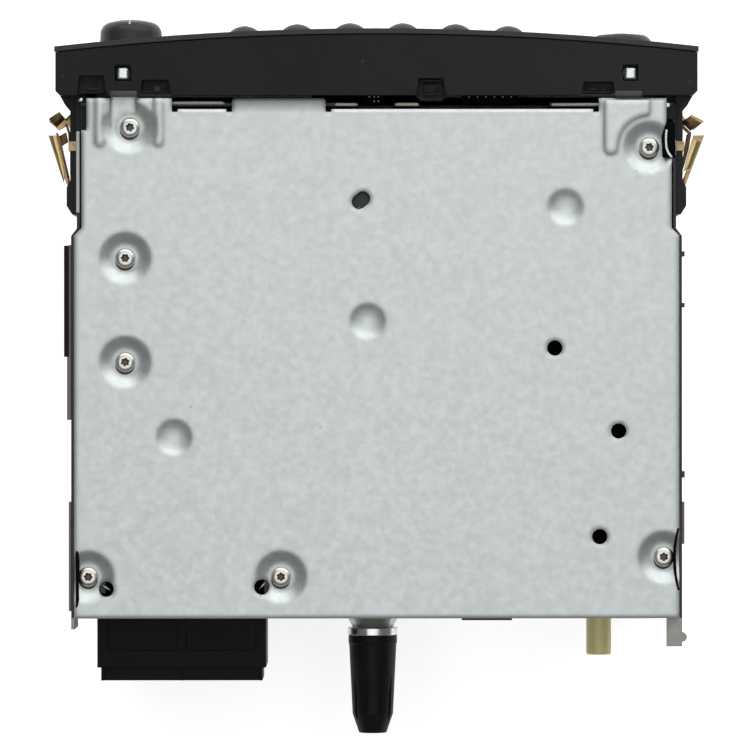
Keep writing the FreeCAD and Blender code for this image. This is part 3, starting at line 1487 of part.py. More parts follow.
def long_keys():
    """The two long keys and the eject key."""
    for name, x, z, width, height in bar_keys():
        face = panel_face(x)
        key = padded(
            name + "_cap",
            "XY_Plane",
            "-bar_proud",
            (
                (f"-{width}/2", f"-{height}/2"),
                (f"{width}/2", f"-{height}/2"),
                (f"{width}/2", f"{height}/2"),
                (f"-{width}/2", f"{height}/2"),
            ),
            "bar_proud + panel_sheet + panel_plug + 1.6",
            TURN["y"],
            (x, face, z),
        )
        round_edges(
            key,
            "key_round",
            lambda edge: edge.BoundBox.ZMax < -value("bar_proud") + 0.01,
        )
        foot = bar(
            name + "_foot",
            "y",
            (x, z),
            (f"{face} + panel_sheet + panel_plug + 1", f"{SWITCH} - key_slack"),
            "stem_radius",
        )
        keep(fuse(name + "_whole", key, foot), name)


def volume_knob():
    """The knob with its shaft, and the encoder whose bush and plunger carry it."""
    face = panel_face("knob_x")
    shaft_end = f"({BOARD} - plunger_back - plunger_length - {face})"
    side = "(knob_radius - knob_lip - 0.15)"
    inner = f"({side} - knob_turn)"
    knob = turned(
        "volume_knob",
        "y",
        ("knob_x", face, "knob_level"),
        (
            ("0", "-knob_proud"),
            ("0", shaft_end),
            ("shaft_radius", shaft_end),
            ("shaft_radius", "knob_back"),
            ("knob_radius", "knob_back"),
            ("knob_radius", "-0.6"),
            ("knob_radius - knob_lip", "-1.6"),
            (f"{side}", "-knob_proud + knob_shoulder", "-knob_round"),
            (inner, "-knob_proud + knob_crown", f"-(({inner}^2 + knob_crown^2)/(2*knob_crown))"),
        ),
    )
    keep(knob, "volume_knob")
    centre = ("knob_x", "knob_level")
    case = box(
        "encoder_case",
        ("knob_x - encoder_size/2", "knob_x + encoder_size/2"),
        (f"{BOARD} - encoder_depth", BOARD),
        ("knob_level - encoder_size/2", "knob_level + encoder_size/2"),
    )
    bush = bar(
        "encoder_bush",
        "y",
        centre,
        (f"{face} + well_depth + 0.4", f"{BOARD} - encoder_depth + 0.5"),
        "bush_radius",
    )
    bore = bar(
        "encoder_bore",
        "y",
        centre,
        (f"{face} - 1", f"{BOARD} - 0.4"),
        "shaft_radius + running_gap",
    )
    keep(cut("encoder", fuse("encoder_blank", case, bush), bore), "encoder")
    plunger = bar(
        "encoder_plunger",
        "y",
        centre,
        (f"{BOARD} - plunger_back - plunger_length", f"{BOARD} - plunger_back"),
        "shaft_radius",
    )
    keep(plunger, "encoder_plunger")


def tilting_pad():
    """The round pad and the crowned button in its middle."""
    face = panel_face("knob_x")
    foot = f"({SWITCH} - key_slack - {face})"
    inner = "(centre_radius + centre_gap)"
    pad = turned(
        "tilting_pad",
        "y",
        ("-knob_x", face, "knob_level"),
        (
            (inner, "-pad_proud"),
            (f"{inner} + 0.8", "-pad_proud", "pad_round"),
            ("pad_radius", "-pad_side"),
            ("pad_radius", "0.7"),
            ("pad_radius - 1.6", "0.7"),
            ("pad_radius - 1.6", foot),
            (inner, foot),
        ),
    )
    keep(pad, "tilting_pad")
    crown = "((centre_radius^2 + 1)/2)"
    button = turned(
        "centre_button",
        "y",
        ("-knob_x", face, "knob_level"),
        (
            ("0", "-centre_proud"),
            ("0", foot),
            ("centre_radius - 1", foot),
            ("centre_radius", "2"),
            ("centre_radius", "-centre_proud + 1", f"-{crown}"),
        ),
    )
    keep(button, "centre_button")


def release_springs():
    """Brass strips on the frame's arms: a fixed mount with its ear, and a leaf that flares out."""
    near = f"({WALL} + wall_sheet - wall_inset + arm_gap)"
    arm = f"({near} + arm_sheet)"
    sheet = "spring_sheet"
    z = ("spring_bottom", "spring_top")
    root = behind("spring_root - 3")
    pivot_x = f"({arm} + {sheet} + 0.4)"
    both = []
    for side in (1, -1):
        name = "right" if side > 0 else "left"
        mount = (
            (arm, behind(6.6)),
            (f"{arm} + {sheet}", behind(6.6)),
            (f"{arm} + {sheet}", root),
            (arm, root),
        )
        sliver = (
            (arm, behind(4.6)),
            (f"{arm} + 0.3", behind(4.2)),
            (f"{arm} + 1.6", behind(6.1)),
            (f"{arm} + {sheet}", behind(8.4)),
            (arm, behind(8.4)),
        )
        ear = (
            (f"{arm} + 1.3", behind(6.0)),
            (f"{arm} + 3.0", behind(4.2)),
            (f"{arm} + 6.9", behind(6.2)),
            (f"{arm} + 3.7", behind(8.9)),
            (f"{arm} + 0.3", behind(7.0)),
        )
        leaf = (
            (f"{pivot_x} - 0.1", behind("spring_root - 0.4")),
            (pivot_x, behind("spring_root + 0.4")),
            (f"{pivot_x} + {sheet}", behind("spring_root")),
            (f"{pivot_x} + spring_flare", behind("spring_root - spring_run")),
            (f"{pivot_x} + spring_flare - {sheet}", behind("spring_root - spring_run - 0.1")),
        )
        lip = (
            (f"{pivot_x} + spring_flare", behind("spring_root - spring_run")),
            (f"{pivot_x} + spring_flare - leaf_lip", behind("spring_root - spring_run")),
            (f"{pivot_x}", behind("spring_root - 1")),
            (f"{pivot_x} + {sheet}", behind("spring_root - 0.5")),
        )
        wrap = (
            (near, behind(12.5)),
            (f"{arm} + {sheet}", behind(12.5)),
            (f"{arm} + {sheet}", behind(15.3)),
            (near, behind(15.3)),
        )
        mounts = []
        for label, points, span in (
            ("mount", mount, z),
            ("sliver", sliver, z),
            ("ear", ear, ("spring_top - 0.6", "spring_top")),
            ("wrap", wrap, ("arm_top", f"arm_top + {sheet}")),
            ("stem", wrap_stem(arm, sheet), ("spring_top - 1", f"arm_top + {sheet}")),
        ):
            mounts.append(strip(f"{label}_{name}", points, span, side))
        both.append(fuse(f"spring_mount_{name}", *mounts))
        leaves = [
            strip(f"leaf_{name}", leaf, z, side),
            strip(f"leaf_lip_{name}", lip, ("spring_top - 0.6", "spring_top"), side),
        ]
        keep(fuse(f"release_spring_{name}", *leaves), f"release_spring_{name}")
    keep(group("spring_mounts", *both), "spring_mounts")


def wrap_stem(arm, sheet):
    """The strip that climbs from the mount to its wrap over the arm."""
    return (
        (arm, behind(12.5)),
        (f"{arm} + {sheet}", behind(12.5)),
        (f"{arm} + {sheet}", behind(15.3)),
        (arm, behind(15.3)),
    )


def strip(name, points, span, side):
    """A bent strip between two levels, on one side."""
    if side < 0:
        points = [(f"-({x})", y) for x, y in points]
    return prism(name, "xy", points, span)


# Rear


def rear_connector():
    """Block with two sockets side by side in a narrower shroud. Gives back its contacts."""
    half = "(plug_width/2)"
    tall = "(plug_height/2)"
    block = box(
        "plug_block",
        (f"plug_x - {half}", f"plug_x + {half}"),
        (REAR, f"{REAR} + plug_depth"),
        (f"plug_level - {tall}", f"plug_level + {tall}"),
    )
    shroud_half = f"({half} - shroud_inset)"
    shroud_tall = f"({tall} - shroud_inset)"
    shroud = box(
        "plug_shroud",
        (f"plug_x - {shroud_half}", f"plug_x + {shroud_half}"),
        (REAR, f"{REAR} + shroud_depth"),
        (f"plug_level - {shroud_tall}", f"plug_level + {shroud_tall}"),
    )
    neck = box(
        "plug_neck",
        (f"plug_x - {half} + 2.2", f"plug_x + {half} - 2.2"),
        (f"{REAR} - 6", f"{REAR} + 1"),
        (f"plug_level - {tall} + 2.2", f"plug_level + {tall} - 2.2"),
    )
    tools = []
    for name, x in plug_sockets():
        tools.append(
            box(
                name,
                x,
                (f"{REAR} + plug_floor", f"{REAR} + shroud_depth + 1"),
                (
                    f"plug_level - {shroud_tall} + shroud_wall",
                    f"plug_level + {shroud_tall} - shroud_wall",
                ),
            )
        )
    # Two shallow panels above and below, and the gap between the corner posts of the shroud
    for number, x in enumerate((f"plug_x - {half} + 3", "plug_x + 1.3")):
        for level, z in (
            ("top", (f"plug_level + {tall} - recess_depth", f"plug_level + {tall} + 1")),
            ("low", (f"plug_level - {tall} - 1", f"plug_level - {tall} + recess_depth")),
        ):
            tools.append(
                box(
                    f"plug_panel_{level}_{number}",
                    (x, f"{x} + {half} - 4.3"),
                    (f"{REAR} + 0.9", f"{REAR} + 11.6"),
                    z,
                )
            )
            tools.append(
                box(
                    f"plug_gap_{level}_{number}",
                    (f"{x} - 1", f"{x} + {half} - 3.3"),
                    (f"{REAR} + plug_depth", f"{REAR} + shroud_depth + 1"),
                    (
                        f"plug_level + {shroud_tall} - recess_depth",
                        f"plug_level + {shroud_tall} + 1",
                    )
                    if level == "top"
                    else (
                        f"plug_level - {shroud_tall} - 1",
                        f"plug_level - {shroud_tall} + recess_depth",
                    ),
                )
            )
    keep(cut("rear_connector", fuse("plug_blank", block, shroud, neck), *tools), "rear_connector")
    contacts = []
    size = "contact_size/2"
    for column in range(5):
        for row in range(2):
            for number, x in enumerate(("(plug_x - plug_width/4)", "(plug_x + plug_width/4)")):
                x_mid = f"({x} + {(column - 2) * 3.6})"
                z_mid = f"(plug_level + {(row - 0.5) * 9})"
                contacts.append(
                    box(
                        f"contact_{number}_{row}_{column}",
                        (f"{x_mid} - {size}", f"{x_mid} + {size}"),
                        (f"{REAR} + plug_floor", f"{REAR} + plug_floor + contact_length"),
                        (f"{z_mid} - {size}", f"{z_mid} + {size}"),
                    )
                )
    return contacts


def plug_sockets():
    """The two sockets of the main connector: name and width."""
    half = "(plug_width/2 - shroud_inset - shroud_wall)"
    return (
        ("plug_socket_left", (f"plug_x - {half}", "plug_x - shroud_wall/2")),
        ("plug_socket_right", ("plug_x + shroud_wall/2", f"plug_x + {half}")),
    )


def aerial_socket():
    """Round aerial socket with a flange on the rear plate. Gives back its contact."""
    body = turned(
        "aerial_socket",
        "y",
        ("aerial_x", REAR, "aerial_level"),
        (
            ("0", "-4"),
            ("0", "5"),
            ("aerial_bore", "5"),
            ("aerial_bore", "aerial_depth"),
            ("aerial_radius - 0.3", "aerial_depth"),
            ("aerial_radius", "aerial_depth - 0.4"),
            ("aerial_radius", "1.2"),
            ("aerial_radius + 1.6", "1.2"),
            ("aerial_radius + 1.6", "0"),
            ("aerial_radius - 1.1", "0"),
            ("aerial_radius - 1.1", "-4"),
        ),
    )
    keep(body, "aerial_socket")
    return bar(
        "aerial_contact",
        "y",
        ("aerial_x", "aerial_level"),
        (f"{REAR} + 5", f"{REAR} + aerial_depth - 5"),
        "0.5",
    )


def guide_pin():
    """Guide pin through the boss of the rear plate, with its flange, and the fluted rubber boot."""
    seat = f"({REAR} + boss_depth)"
    pin = turned(
        "guide_pin",
        "y",
        ("guide_x", seat, "guide_level"),
        (
            ("0", "-boss_depth - 5"),
            ("0", "flange_sheet + boot_length - 6"),
            ("stud_radius", "flange_sheet + boot_length - 6"),
            ("stud_radius", "flange_sheet"),
            ("flange_radius", "flange_sheet"),
            ("flange_radius", "0"),
            ("stud_radius", "0"),
            ("stud_radius", "-boss_depth - wall_sheet"),
            ("stud_radius + 2.2", "-boss_depth - wall_sheet"),
            ("stud_radius + 2.2", "-boss_depth - wall_sheet - 2.4"),
            ("stud_radius", "-boss_depth - wall_sheet - 2.4"),
            ("stud_radius", "-boss_depth - 5"),
        ),
    )
    keep(pin, "guide_pin")
    start = f"({seat} + flange_sheet)"
    boot = turned(
        "guide_boot",
        "y",
        ("guide_x", start, "guide_level"),
        (
            ("stud_radius", "0"),
            ("stud_radius", "boot_length - 6"),
            ("0", "boot_length - 6"),
            ("0", "boot_length"),
            ("boot_nose", "boot_length"),
            ("boot_tip", "boot_length - boot_chamfer"),
            ("boot_radius - 0.2", "3"),
            ("boot_radius", "2.4"),
            ("boot_radius", "0"),
        ),
    )
    planes = {feature.Role: feature for feature in boot.Origin.OriginFeatures}
    flute = boot.newObject("Sketcher::SketchObject", "flute_profile")
    flute.AttachmentSupport = (planes["XZ_Plane"], "")
    flute.MapMode = "FlatFace"
    draw_loop(
        flute,
        (
            ("boot_radius + 0.8 - flute_radius", "9"),
            ("boot_radius + 0.8", "9"),
            ("boot_tip + 1.2", "boot_length + 2"),
            ("boot_tip + 1.2 - flute_radius - 0.9", "boot_length + 2"),
            ("boot_tip + 0.5 - flute_radius", "boot_length - 8"),
        ),
    )
    groove = boot.newObject("PartDesign::Pocket", "flute")
    groove.Profile = flute
    groove.Midplane = True
    bind(groove, "Length", "flute_radius")
    ring = boot.newObject("PartDesign::PolarPattern", "flutes")
    ring.Originals = [groove]
    ring.Axis = (boot.Origin.OriginFeatures[2], [""])
    ring.Angle = 360
    ring.Occurrences = 10
    boot.Tip = ring
    keep(boot, "guide_boot")


# Boards inside


# Parts on the main board. Capacitors: x, y behind the tabs, radius and height. Chips: x, y, width and depth.
CANS = (
    (-66.0, 96.0, 8.0, 25.0),
    (-46.0, 112.0, 8.0, 25.0),
    (-66.0, 120.0, 6.3, 20.0),
    (-20.0, 40.0, 4.0, 11.0),
    (-8.0, 40.0, 4.0, 11.0),
    (30.0, 60.0, 5.0, 12.5),
    (44.0, 60.0, 5.0, 12.5),
    (58.0, 96.0, 6.3, 16.0),
)
CAN_EDGE = 0.8
CHIPS = (
    (0.0, 84.0, 20.0, 20.0),
    (34.0, 88.0, 14.0, 14.0),
    (-30.0, 70.0, 12.0, 8.0),
    (60.0, 36.0, 10.0, 6.0),
)


def main_board():
    """Main board on the lugs of the bottom screws, with the parts that stand on it."""
    level = "main_level"
    top = f"({level} + board_sheet)"
    front_edge = f"({PLATE} + wall_sheet + main_margin)"
    rear_edge = f"({REAR} - wall_sheet - main_margin)"
    sheet = box("main_sheet", ("-main_half", "main_half"), (front_edge, rear_edge), (level, top))
    feet = []
    for number, (x, y, side) in enumerate(LOW_SCREWS):
        feet.append(
            bar(
                f"main_foot_{number}",
                "z",
                (x, behind(y)),
                (f"{LOW_LUG} + lug_sheet", level),
                "foot_radius",
            )
        )
    bores = []
    for number, (x, y, side) in enumerate(LOW_SCREWS):
        span = (LOW_LUG, f"{LOW_LUG} + screw_length + 1")
        bores.append(bar(f"main_bore_{number}", "z", (x, behind(y)), span, "screw_shank + screw_gap"))
    keep(cut("main_board", fuse("main_blank", sheet, *feet), *bores), "main_board")
    cans = []
    for number, (x, y, radius, height) in enumerate(CANS):
        cans.append(
            turned(
                f"can_{number}",
                "z",
                (x, behind(y), top),
                (
                    ("0", "0"),
                    (radius, "0"),
                    (radius, height - CAN_EDGE),
                    (radius - CAN_EDGE, height),
                    ("0", height),
                ),
            )
        )
    keep(group("capacitors", *cans), "capacitors")
    chips = []
    for number, (x, y, wide, deep) in enumerate(CHIPS):
        chip_x = (x - wide / 2, x + wide / 2)
        chip_y = (behind(y), behind(y + deep))
        chips.append(box(f"chip_{number}", chip_x, chip_y, (top, f"{top} + chip_height")))
    shield_x = ("-main_half + tuner_edge", "-main_half + tuner_edge + tuner_width")
    shield_y = (behind("tuner_back"), behind("tuner_back + tuner_depth"))
    shield = box("tuner_shield", shield_x, shield_y, (top, f"{top} + tuner_height"))
    keep(shield, "tuner_shield")
    rear_face = f"{REAR} - wall_sheet"
    amplifier = box(
        "amplifier",
        ("amplifier_x - amplifier_width/2", "amplifier_x + amplifier_width/2"),
        (f"{rear_face} - amplifier_depth", rear_face),
        (top, f"{top} + amplifier_height"),
    )
    link = box(
        "board_link",
        ("-link_half", "link_half"),
        (f"{BOARD} + board_sheet", f"{front_edge} + 8"),
        (top, f"{top} + link_height"),
    )
    keep(group("board_parts", *chips, amplifier, link), "board_parts")


def lid_board():
    """Board under the top cover, on the side walls' lugs, seen through the cover's small holes."""
    level = "lid_level"
    top = f"({level} + board_sheet)"
    sheet = box(
        "lid_sheet",
        ("-lid_half", "lid_half"),
        (behind("lid_front"), f"{REAR} - lid_end"),
        (level, top),
    )
    feet = []
    bores = []
    under_lug = (top, f"{LUG_TOP} - lug_sheet")
    for number, (x, y, side) in enumerate(LID_SCREWS):
        # A spacer stands under its screw, or at the board's edge where the screw is further out
        edge = "(lid_half - 3)"
        foot_x = x if side == 0 else f"{side}*min({side}*{x}; {edge})"
        feet.append(bar(f"lid_foot_{number}", "z", (foot_x, behind(y)), under_lug, "lid_foot"))
        span = (f"{LUG_TOP} - 2*screw_length", LUG_TOP)
        bores.append(
            bar(f"lid_bore_{number}", "z", (x, behind(y)), span, "screw_shank + screw_gap")
        )
    keep(cut("lid_board", fuse("lid_blank", sheet, *feet), *bores), "lid_board")


# Disc mechanism


def gear_spots():
    """Centres of the idler and the pinion, below and behind the roller, as y and z expressions."""
    first = "(gear_module*(roller_teeth + idler_teeth)/2)"
    second = "(gear_module*(idler_teeth + pinion_teeth)/2)"
    idler = (
        f"(roller_y + {first}*cos(idler_angle))",
        f"({ROLLER_Z} - {first}*sin(idler_angle))",
    )
    pinion = (
        f"({idler[0]} + {second}*cos(pinion_angle))",
        f"({idler[1]} - {second}*sin(pinion_angle))",
    )
    return ("roller_y", ROLLER_Z), idler, pinion


def gear(name, teeth_size, centre, turn, bore):
    """A spur gear with flanks drawn from the involute.

    Turn is where a tooth points, in degrees from +Y to +Z.
    """
    module = value("gear_module")
    teeth = round(value(teeth_size))
    pitch = module * teeth / 2
    base = pitch * math.cos(math.radians(20))
    tip = pitch + 0.95 * module
    root = pitch - 1.2 * module
    half_pitch = math.pi / (2 * teeth) - value("backlash") / (4 * pitch)

    def spread(radius):
        if radius <= base:
            return 0.0
        angle = math.acos(base / radius)
        return math.tan(angle) - angle

    flank = [radius for radius in (max(base, root), (base + tip) / 2, tip)]
    points = []
    for number in range(teeth):
        middle = math.radians(turn) + 2 * math.pi * number / teeth
        widths = [half_pitch + spread(pitch) - spread(radius) for radius in flank]
        side = [(root, widths[0])] + list(zip(flank, widths))
        for radius, width in side:
            points.append((radius, middle - width))
        for radius, width in reversed(side):
            points.append((radius, middle + width))
    spots = [V(0, radius * math.cos(angle), radius * math.sin(angle)) for radius, angle in points]
    face = Part.Face(Part.makePolygon(spots + [spots[0]]))
    width = value("gear_width")
    blank = face.extrude(V(width, 0, 0))
    blank = blank.cut(Part.makeCylinder(bore, width, V(), V(1, 0, 0)))
    wheel = new("Part::Feature", name)
    wheel.Shape = blank
    place(wheel, GEAR_SIDE, centre[0], centre[1])
    return wheel


GEAR_SIDE = "(base_half + gear_side)"


def mechanism_base():
    """Folded base plate with bearings in its flanges, a mouth for the roller and lugs for the rods."""
    half = "base_half"
    deep = ("base_front", "base_rear")
    plate = box("base_plate", (f"-{half}", half), deep, ("base_level", BASE_TOP))
    flange_z = ("base_level", f"{BASE_TOP} + base_flange")
    pieces = [plate]
    for side in (1, -1):
        x = (f"{half} - base_sheet", half) if side > 0 else (f"-{half}", f"-{half} + base_sheet")
        name = "right" if side > 0 else "left"
        pieces.append(box(f"base_flange_{name}", x, deep, flange_z))
    roller, idler, pinion = gear_spots()
    drop_x = (f"{half} - base_sheet", half)
    drop = box(
        "base_gear_lug",
        drop_x,
        (f"{idler[0]} - 4", f"{pinion[0]} + motor_radius + 1"),
        (f"{pinion[1]} - motor_radius", "base_level + 0.5*base_sheet"),
    )
    pin = bar("idler_pin", "x", idler, (half, f"{GEAR_SIDE} + gear_width + 0.6"), "axle_radius")
    foot = bar("idler_shoulder", "x", idler, (half, f"{GEAR_SIDE} - 0.3"), "axle_radius + 1")
    pieces += [drop, pin, foot]
    # Lugs turned down from the plate for the guide rods and the lead screw
    for name, y in (("front", "rod_start"), ("rear", "base_rear - lug_thick")):
        pieces.append(
            box(
                f"rod_lug_{name}",
                ("-rod_x - 4", "screw_x + 4"),
                (y, f"{y} + lug_thick"),
                ("rod_level - 4", "base_level + 0.5*base_sheet"),
            )
        )
    tools = []
    tools.append(
        box(
            "base_mouth",
            ("-mouth_half", "mouth_half"),
            ("base_front - 1", "mouth_rear"),
            ("base_level - 1", f"{BASE_TOP} + 1"),
        )
    )
    tools.append(
        bar(
            "base_spindle_hole",
            "z",
            ("0", "spindle_y"),
            ("base_level - 1", f"{BASE_TOP} + 1"),
            "3.2",
        )
    )
    tools.append(
        box(
            "base_pickup_slot",
            ("-lens_radius - 3", "lens_radius + 3"),
            ("rod_start + lug_thick + 1", "base_rear - lug_thick - 1"),
            ("base_level - 1", f"{BASE_TOP} + 1"),
        )
    )
    shaft = "axle_radius + running_gap"
    wide = (f"-{half} - 1", f"{half} + 1")
    tools.append(bar("roller_bearings", "x", roller, wide, shaft))
    tools.append(bar("arm_bearings", "x", ("arm_pivot", "arm_level + 0.5"), wide, shaft))
    tools.append(bar("guide_bearings", "x", ("guide_pivot", GUIDE_PIN_Z), wide, shaft))
    tools.append(
        bar("motor_shaft_hole", "x", pinion, (f"{half} - 3", f"{half} + 1"), "axle_radius + 0.5")
    )
    for x in ("-rod_x", "rod_x", "screw_x"):
        tools.append(
            bar(
                f"rod_bore_{len(tools)}",
                "y",
                (x, "rod_level"),
                ("rod_start - 1", "base_rear + 1"),
                shaft,
            )
        )
    for number, (x, y) in enumerate(damper_spots()):
        span = ("base_level - 1", f"{BASE_TOP} + 1")
        tools.append(bar(f"damper_hole_{number}", "z", (x, y), span, "damper_radius - 1.4"))
    keep(cut("mechanism_base", fuse("base_blank", *pieces), *tools), "mechanism_base")


GUIDE_PIN_Z = "(disc_level + guide_gap + guide_sheet/2 + 1)"


def damper_spots():
    """Where the four dampers stand."""
    return [
        (x, y) for x in ("damper_x", "-damper_x") for y in ("damper_front", "damper_rear")
    ]


def suspension():
    """Rubber dampers under the base plate, on pins of the brackets that hang on the side walls."""
    gap = "(base_level - bracket_level)"
    dampers = []
    for number, (x, y) in enumerate(damper_spots()):
        dampers.append(
            turned(
                f"damper_{number}",
                "z",
                (x, y, "bracket_level"),
                (
                    ("axle_radius + running_gap", "0"),
                    ("damper_radius", "0"),
                    ("damper_radius", f"{gap}*0.3"),
                    ("damper_radius - 0.9", f"{gap}*0.5"),
                    ("damper_radius", f"{gap}*0.7"),
                    ("damper_radius", gap),
                    ("damper_radius - 1.45", gap),
                    ("damper_radius - 1.45", f"{gap} + base_sheet"),
                    ("damper_radius - 0.6", f"{gap} + base_sheet"),
                    ("damper_radius - 0.6", f"{gap} + base_sheet + 0.8"),
                    ("axle_radius + running_gap", f"{gap} + base_sheet + 0.8"),
                ),
            )
        )
    keep(group("dampers", *dampers), "dampers")
    wall = f"({WALL} - wall_inset)"
    sheet = "wall_sheet"
    brackets = []
    for side in (1, -1):
        name = "right" if side > 0 else "left"
        pieces = []
        for spot, y in (("front", "damper_front"), ("rear", "damper_rear")):
            edge = wall if spot == "front" else WALL
            x = ("damper_x - damper_radius - 1", edge)
            if side < 0:
                x = (f"-{edge}", "-damper_x + damper_radius + 1")
            pieces.append(
                box(
                    f"bracket_{name}_{spot}",
                    x,
                    (f"{y} - bracket_half", f"{y} + bracket_half"),
                    (f"bracket_level - {sheet}", "bracket_level"),
                )
            )
            pieces.append(
                bar(
                    f"bracket_pin_{name}_{spot}",
                    "z",
                    (f"{side}*damper_x", y),
                    ("bracket_level - 0.5", f"{BASE_TOP} + pin_over"),
                    "axle_radius",
                )
            )
            flange_x = (f"{edge} - {sheet}", edge) if side > 0 else (f"-{edge}", f"-{edge} + {sheet}")
            pieces.append(
                box(
                    f"bracket_flange_{name}_{spot}",
                    flange_x,
                    (f"{y} - bracket_half", f"{y} + bracket_half"),
                    ("bracket_level - bracket_drop", "bracket_level"),
                )
            )
        rail_x = (f"{wall} - {sheet}", wall) if side > 0 else (f"-{wall}", f"-{wall} + {sheet}")
        pieces.append(
            box(
                f"bracket_rail_{name}",
                rail_x,
                ("damper_front - bracket_half", behind("joggle_start - 1")),
                ("bracket_level - bracket_drop", f"bracket_level - {sheet}"),
            )
        )
        brackets.append(fuse(f"bracket_{name}", *pieces))
    keep(group("mechanism_brackets", *brackets), "mechanism_brackets")


def loading_gear():
    """Roller on its shaft and the gear train at its right end. Gives back the motor that turns it."""
    reach = f"({GEAR_SIDE} + gear_width + 0.4)"
    shaft_x = ("-base_half - base_sheet", reach)
    shaft = bar("roller_rod", "x", ("roller_y", ROLLER_Z), shaft_x, "axle_radius")
    rubber = turned(
        "roller_rubber",
        "x",
        ("-roller_half", "roller_y", ROLLER_Z),
        (
            ("axle_radius", "0"),
            ("roller_radius", "0"),
            ("roller_waist", "roller_half"),
            ("roller_radius", "2*roller_half"),
            ("axle_radius", "2*roller_half"),
        ),
    )
    keep(rubber, "roller_rubber")
    roller, idler, pinion = gear_spots()
    axle = value("axle_radius")
    first = -value("idler_angle")
    second = -value("pinion_angle")
    roller_gear = gear("roller_gear", "roller_teeth", roller, first, axle)
    keep(group("roller_shaft", shaft, roller_gear), "roller_shaft")
    # Each next gear stands with a gap between teeth facing the tooth that meets it
    idler_turn = first + 180 + 180 / value("idler_teeth")
    loose = axle + value("running_gap")
    keep(gear("idler_gear", "idler_teeth", idler, idler_turn, loose), "idler_gear")
    step = 360 / value("idler_teeth")
    lead = (second - idler_turn) % step
    share = lead / step
    pinion_turn = second + 180 + (0.5 + share) * 360 / value("pinion_teeth")
    pinion_gear = gear("pinion_gear", "pinion_teeth", pinion, pinion_turn, axle)
    stub = bar(
        "motor_shaft",
        "x",
        pinion,
        ("base_half - base_sheet - 4", reach),
        "axle_radius",
    )
    keep(group("motor_pinion", stub, pinion_gear), "motor_pinion")
    inner = "(base_half - base_sheet)"
    can = bar("loading_can", "x", pinion, (f"{inner} - motor_length", inner), "motor_radius")
    bore_x = (f"{inner} - 5", f"{inner} + 1")
    hole = bar("loading_bore", "x", pinion, bore_x, "axle_radius + running_gap")
    return cut("loading_motor", can, hole)


def disc_guide():
    """Flap above the roller that guides the disc's edges, hollowed in its middle."""
    under = "(disc_level + guide_gap)"
    inner = "(base_half - base_sheet - 0.5)"
    front = "(base_front + 0.6)"
    plate = box(
        "guide_plate",
        (f"-{inner}", inner),
        (front, "guide_pivot + 2"),
        (under, f"{under} + guide_sheet"),
    )
    tube = bar(
        "guide_tube", "x", ("guide_pivot", GUIDE_PIN_Z), (f"-{inner}", inner), "axle_radius + 1"
    )
    pins = bar(
        "guide_pins",
        "x",
        ("guide_pivot", GUIDE_PIN_Z),
        ("-base_half - 0.8", "base_half + 0.8"),
        "axle_radius",
    )
    hollow = box(
        "guide_hollow",
        ("-roller_half + 14", "roller_half - 14"),
        (f"{front} - 1", "guide_pivot - 3.5"),
        (f"{under} - 1", f"{under} + guide_sheet/2"),
    )
    flap = cut("guide_blank", fuse("guide_all", plate, tube), hollow)
    keep(fuse("disc_guide_whole", flap, pins), "disc_guide")


def clamp_arm():
    """Arm over the turntable, on pins in the base's flanges, and the clamper that hangs in its end."""
    level = "arm_level"
    sheet = "base_sheet"
    top = f"({level} + {sheet})"
    outline = (
        ("-arm_half", "arm_pivot - 6"),
        ("-arm_half", "arm_pivot + 3"),
        ("arm_half", "arm_pivot + 3"),
        ("arm_half", "arm_pivot - 6"),
        ("arm_nose", "spindle_y"),
        ("-arm_nose", "spindle_y"),
    )
    web = prism("arm_web", "xy", outline, (level, top))
    nose = bar("arm_end", "z", ("0", "spindle_y"), (level, top), "arm_nose")
    pins = bar(
        "arm_pins",
        "x",
        ("arm_pivot", f"{level} + 0.5"),
        ("-base_half - 0.8", "base_half + 0.8"),
        "axle_radius",
    )
    through = (f"{level} - 3", f"{top} + 3")
    neck = "(clamper_neck + clamper_drop)"
    hole = bar("arm_hole", "z", ("0", "spindle_y"), through, neck)
    window_y = ("arm_pivot - 26", "arm_pivot - 9")
    windows = [
        box(f"arm_window_{number}", x, window_y, through)
        for number, x in enumerate(((-24, -4), (4, 24)))
    ]
    keep(cut("clamp_arm", fuse("arm_blank", web, nose, pins), hole, *windows), "clamp_arm")
    low = f"({level} - clamper_drop - clamper_height)"
    clamper = turned(
        "clamper",
        "z",
        ("0", "spindle_y", low),
        (
            ("0", "2.4"),
            ("hub_radius + 1", "2.4"),
            ("hub_radius + 1", "0"),
            ("clamper_radius", "0"),
            ("clamper_radius", "clamper_height"),
            ("clamper_neck", "clamper_height"),
            ("clamper_neck", f"clamper_height + 2*clamper_drop + {sheet}"),
            ("clamper_neck + 2", f"clamper_height + 2*clamper_drop + {sheet}"),
            ("clamper_neck + 2", f"clamper_height + 2*clamper_drop + {sheet} + 0.8"),
            ("0", f"clamper_height + 2*clamper_drop + {sheet} + 0.8"),
        ),
    )
    keep(clamper, "clamper")


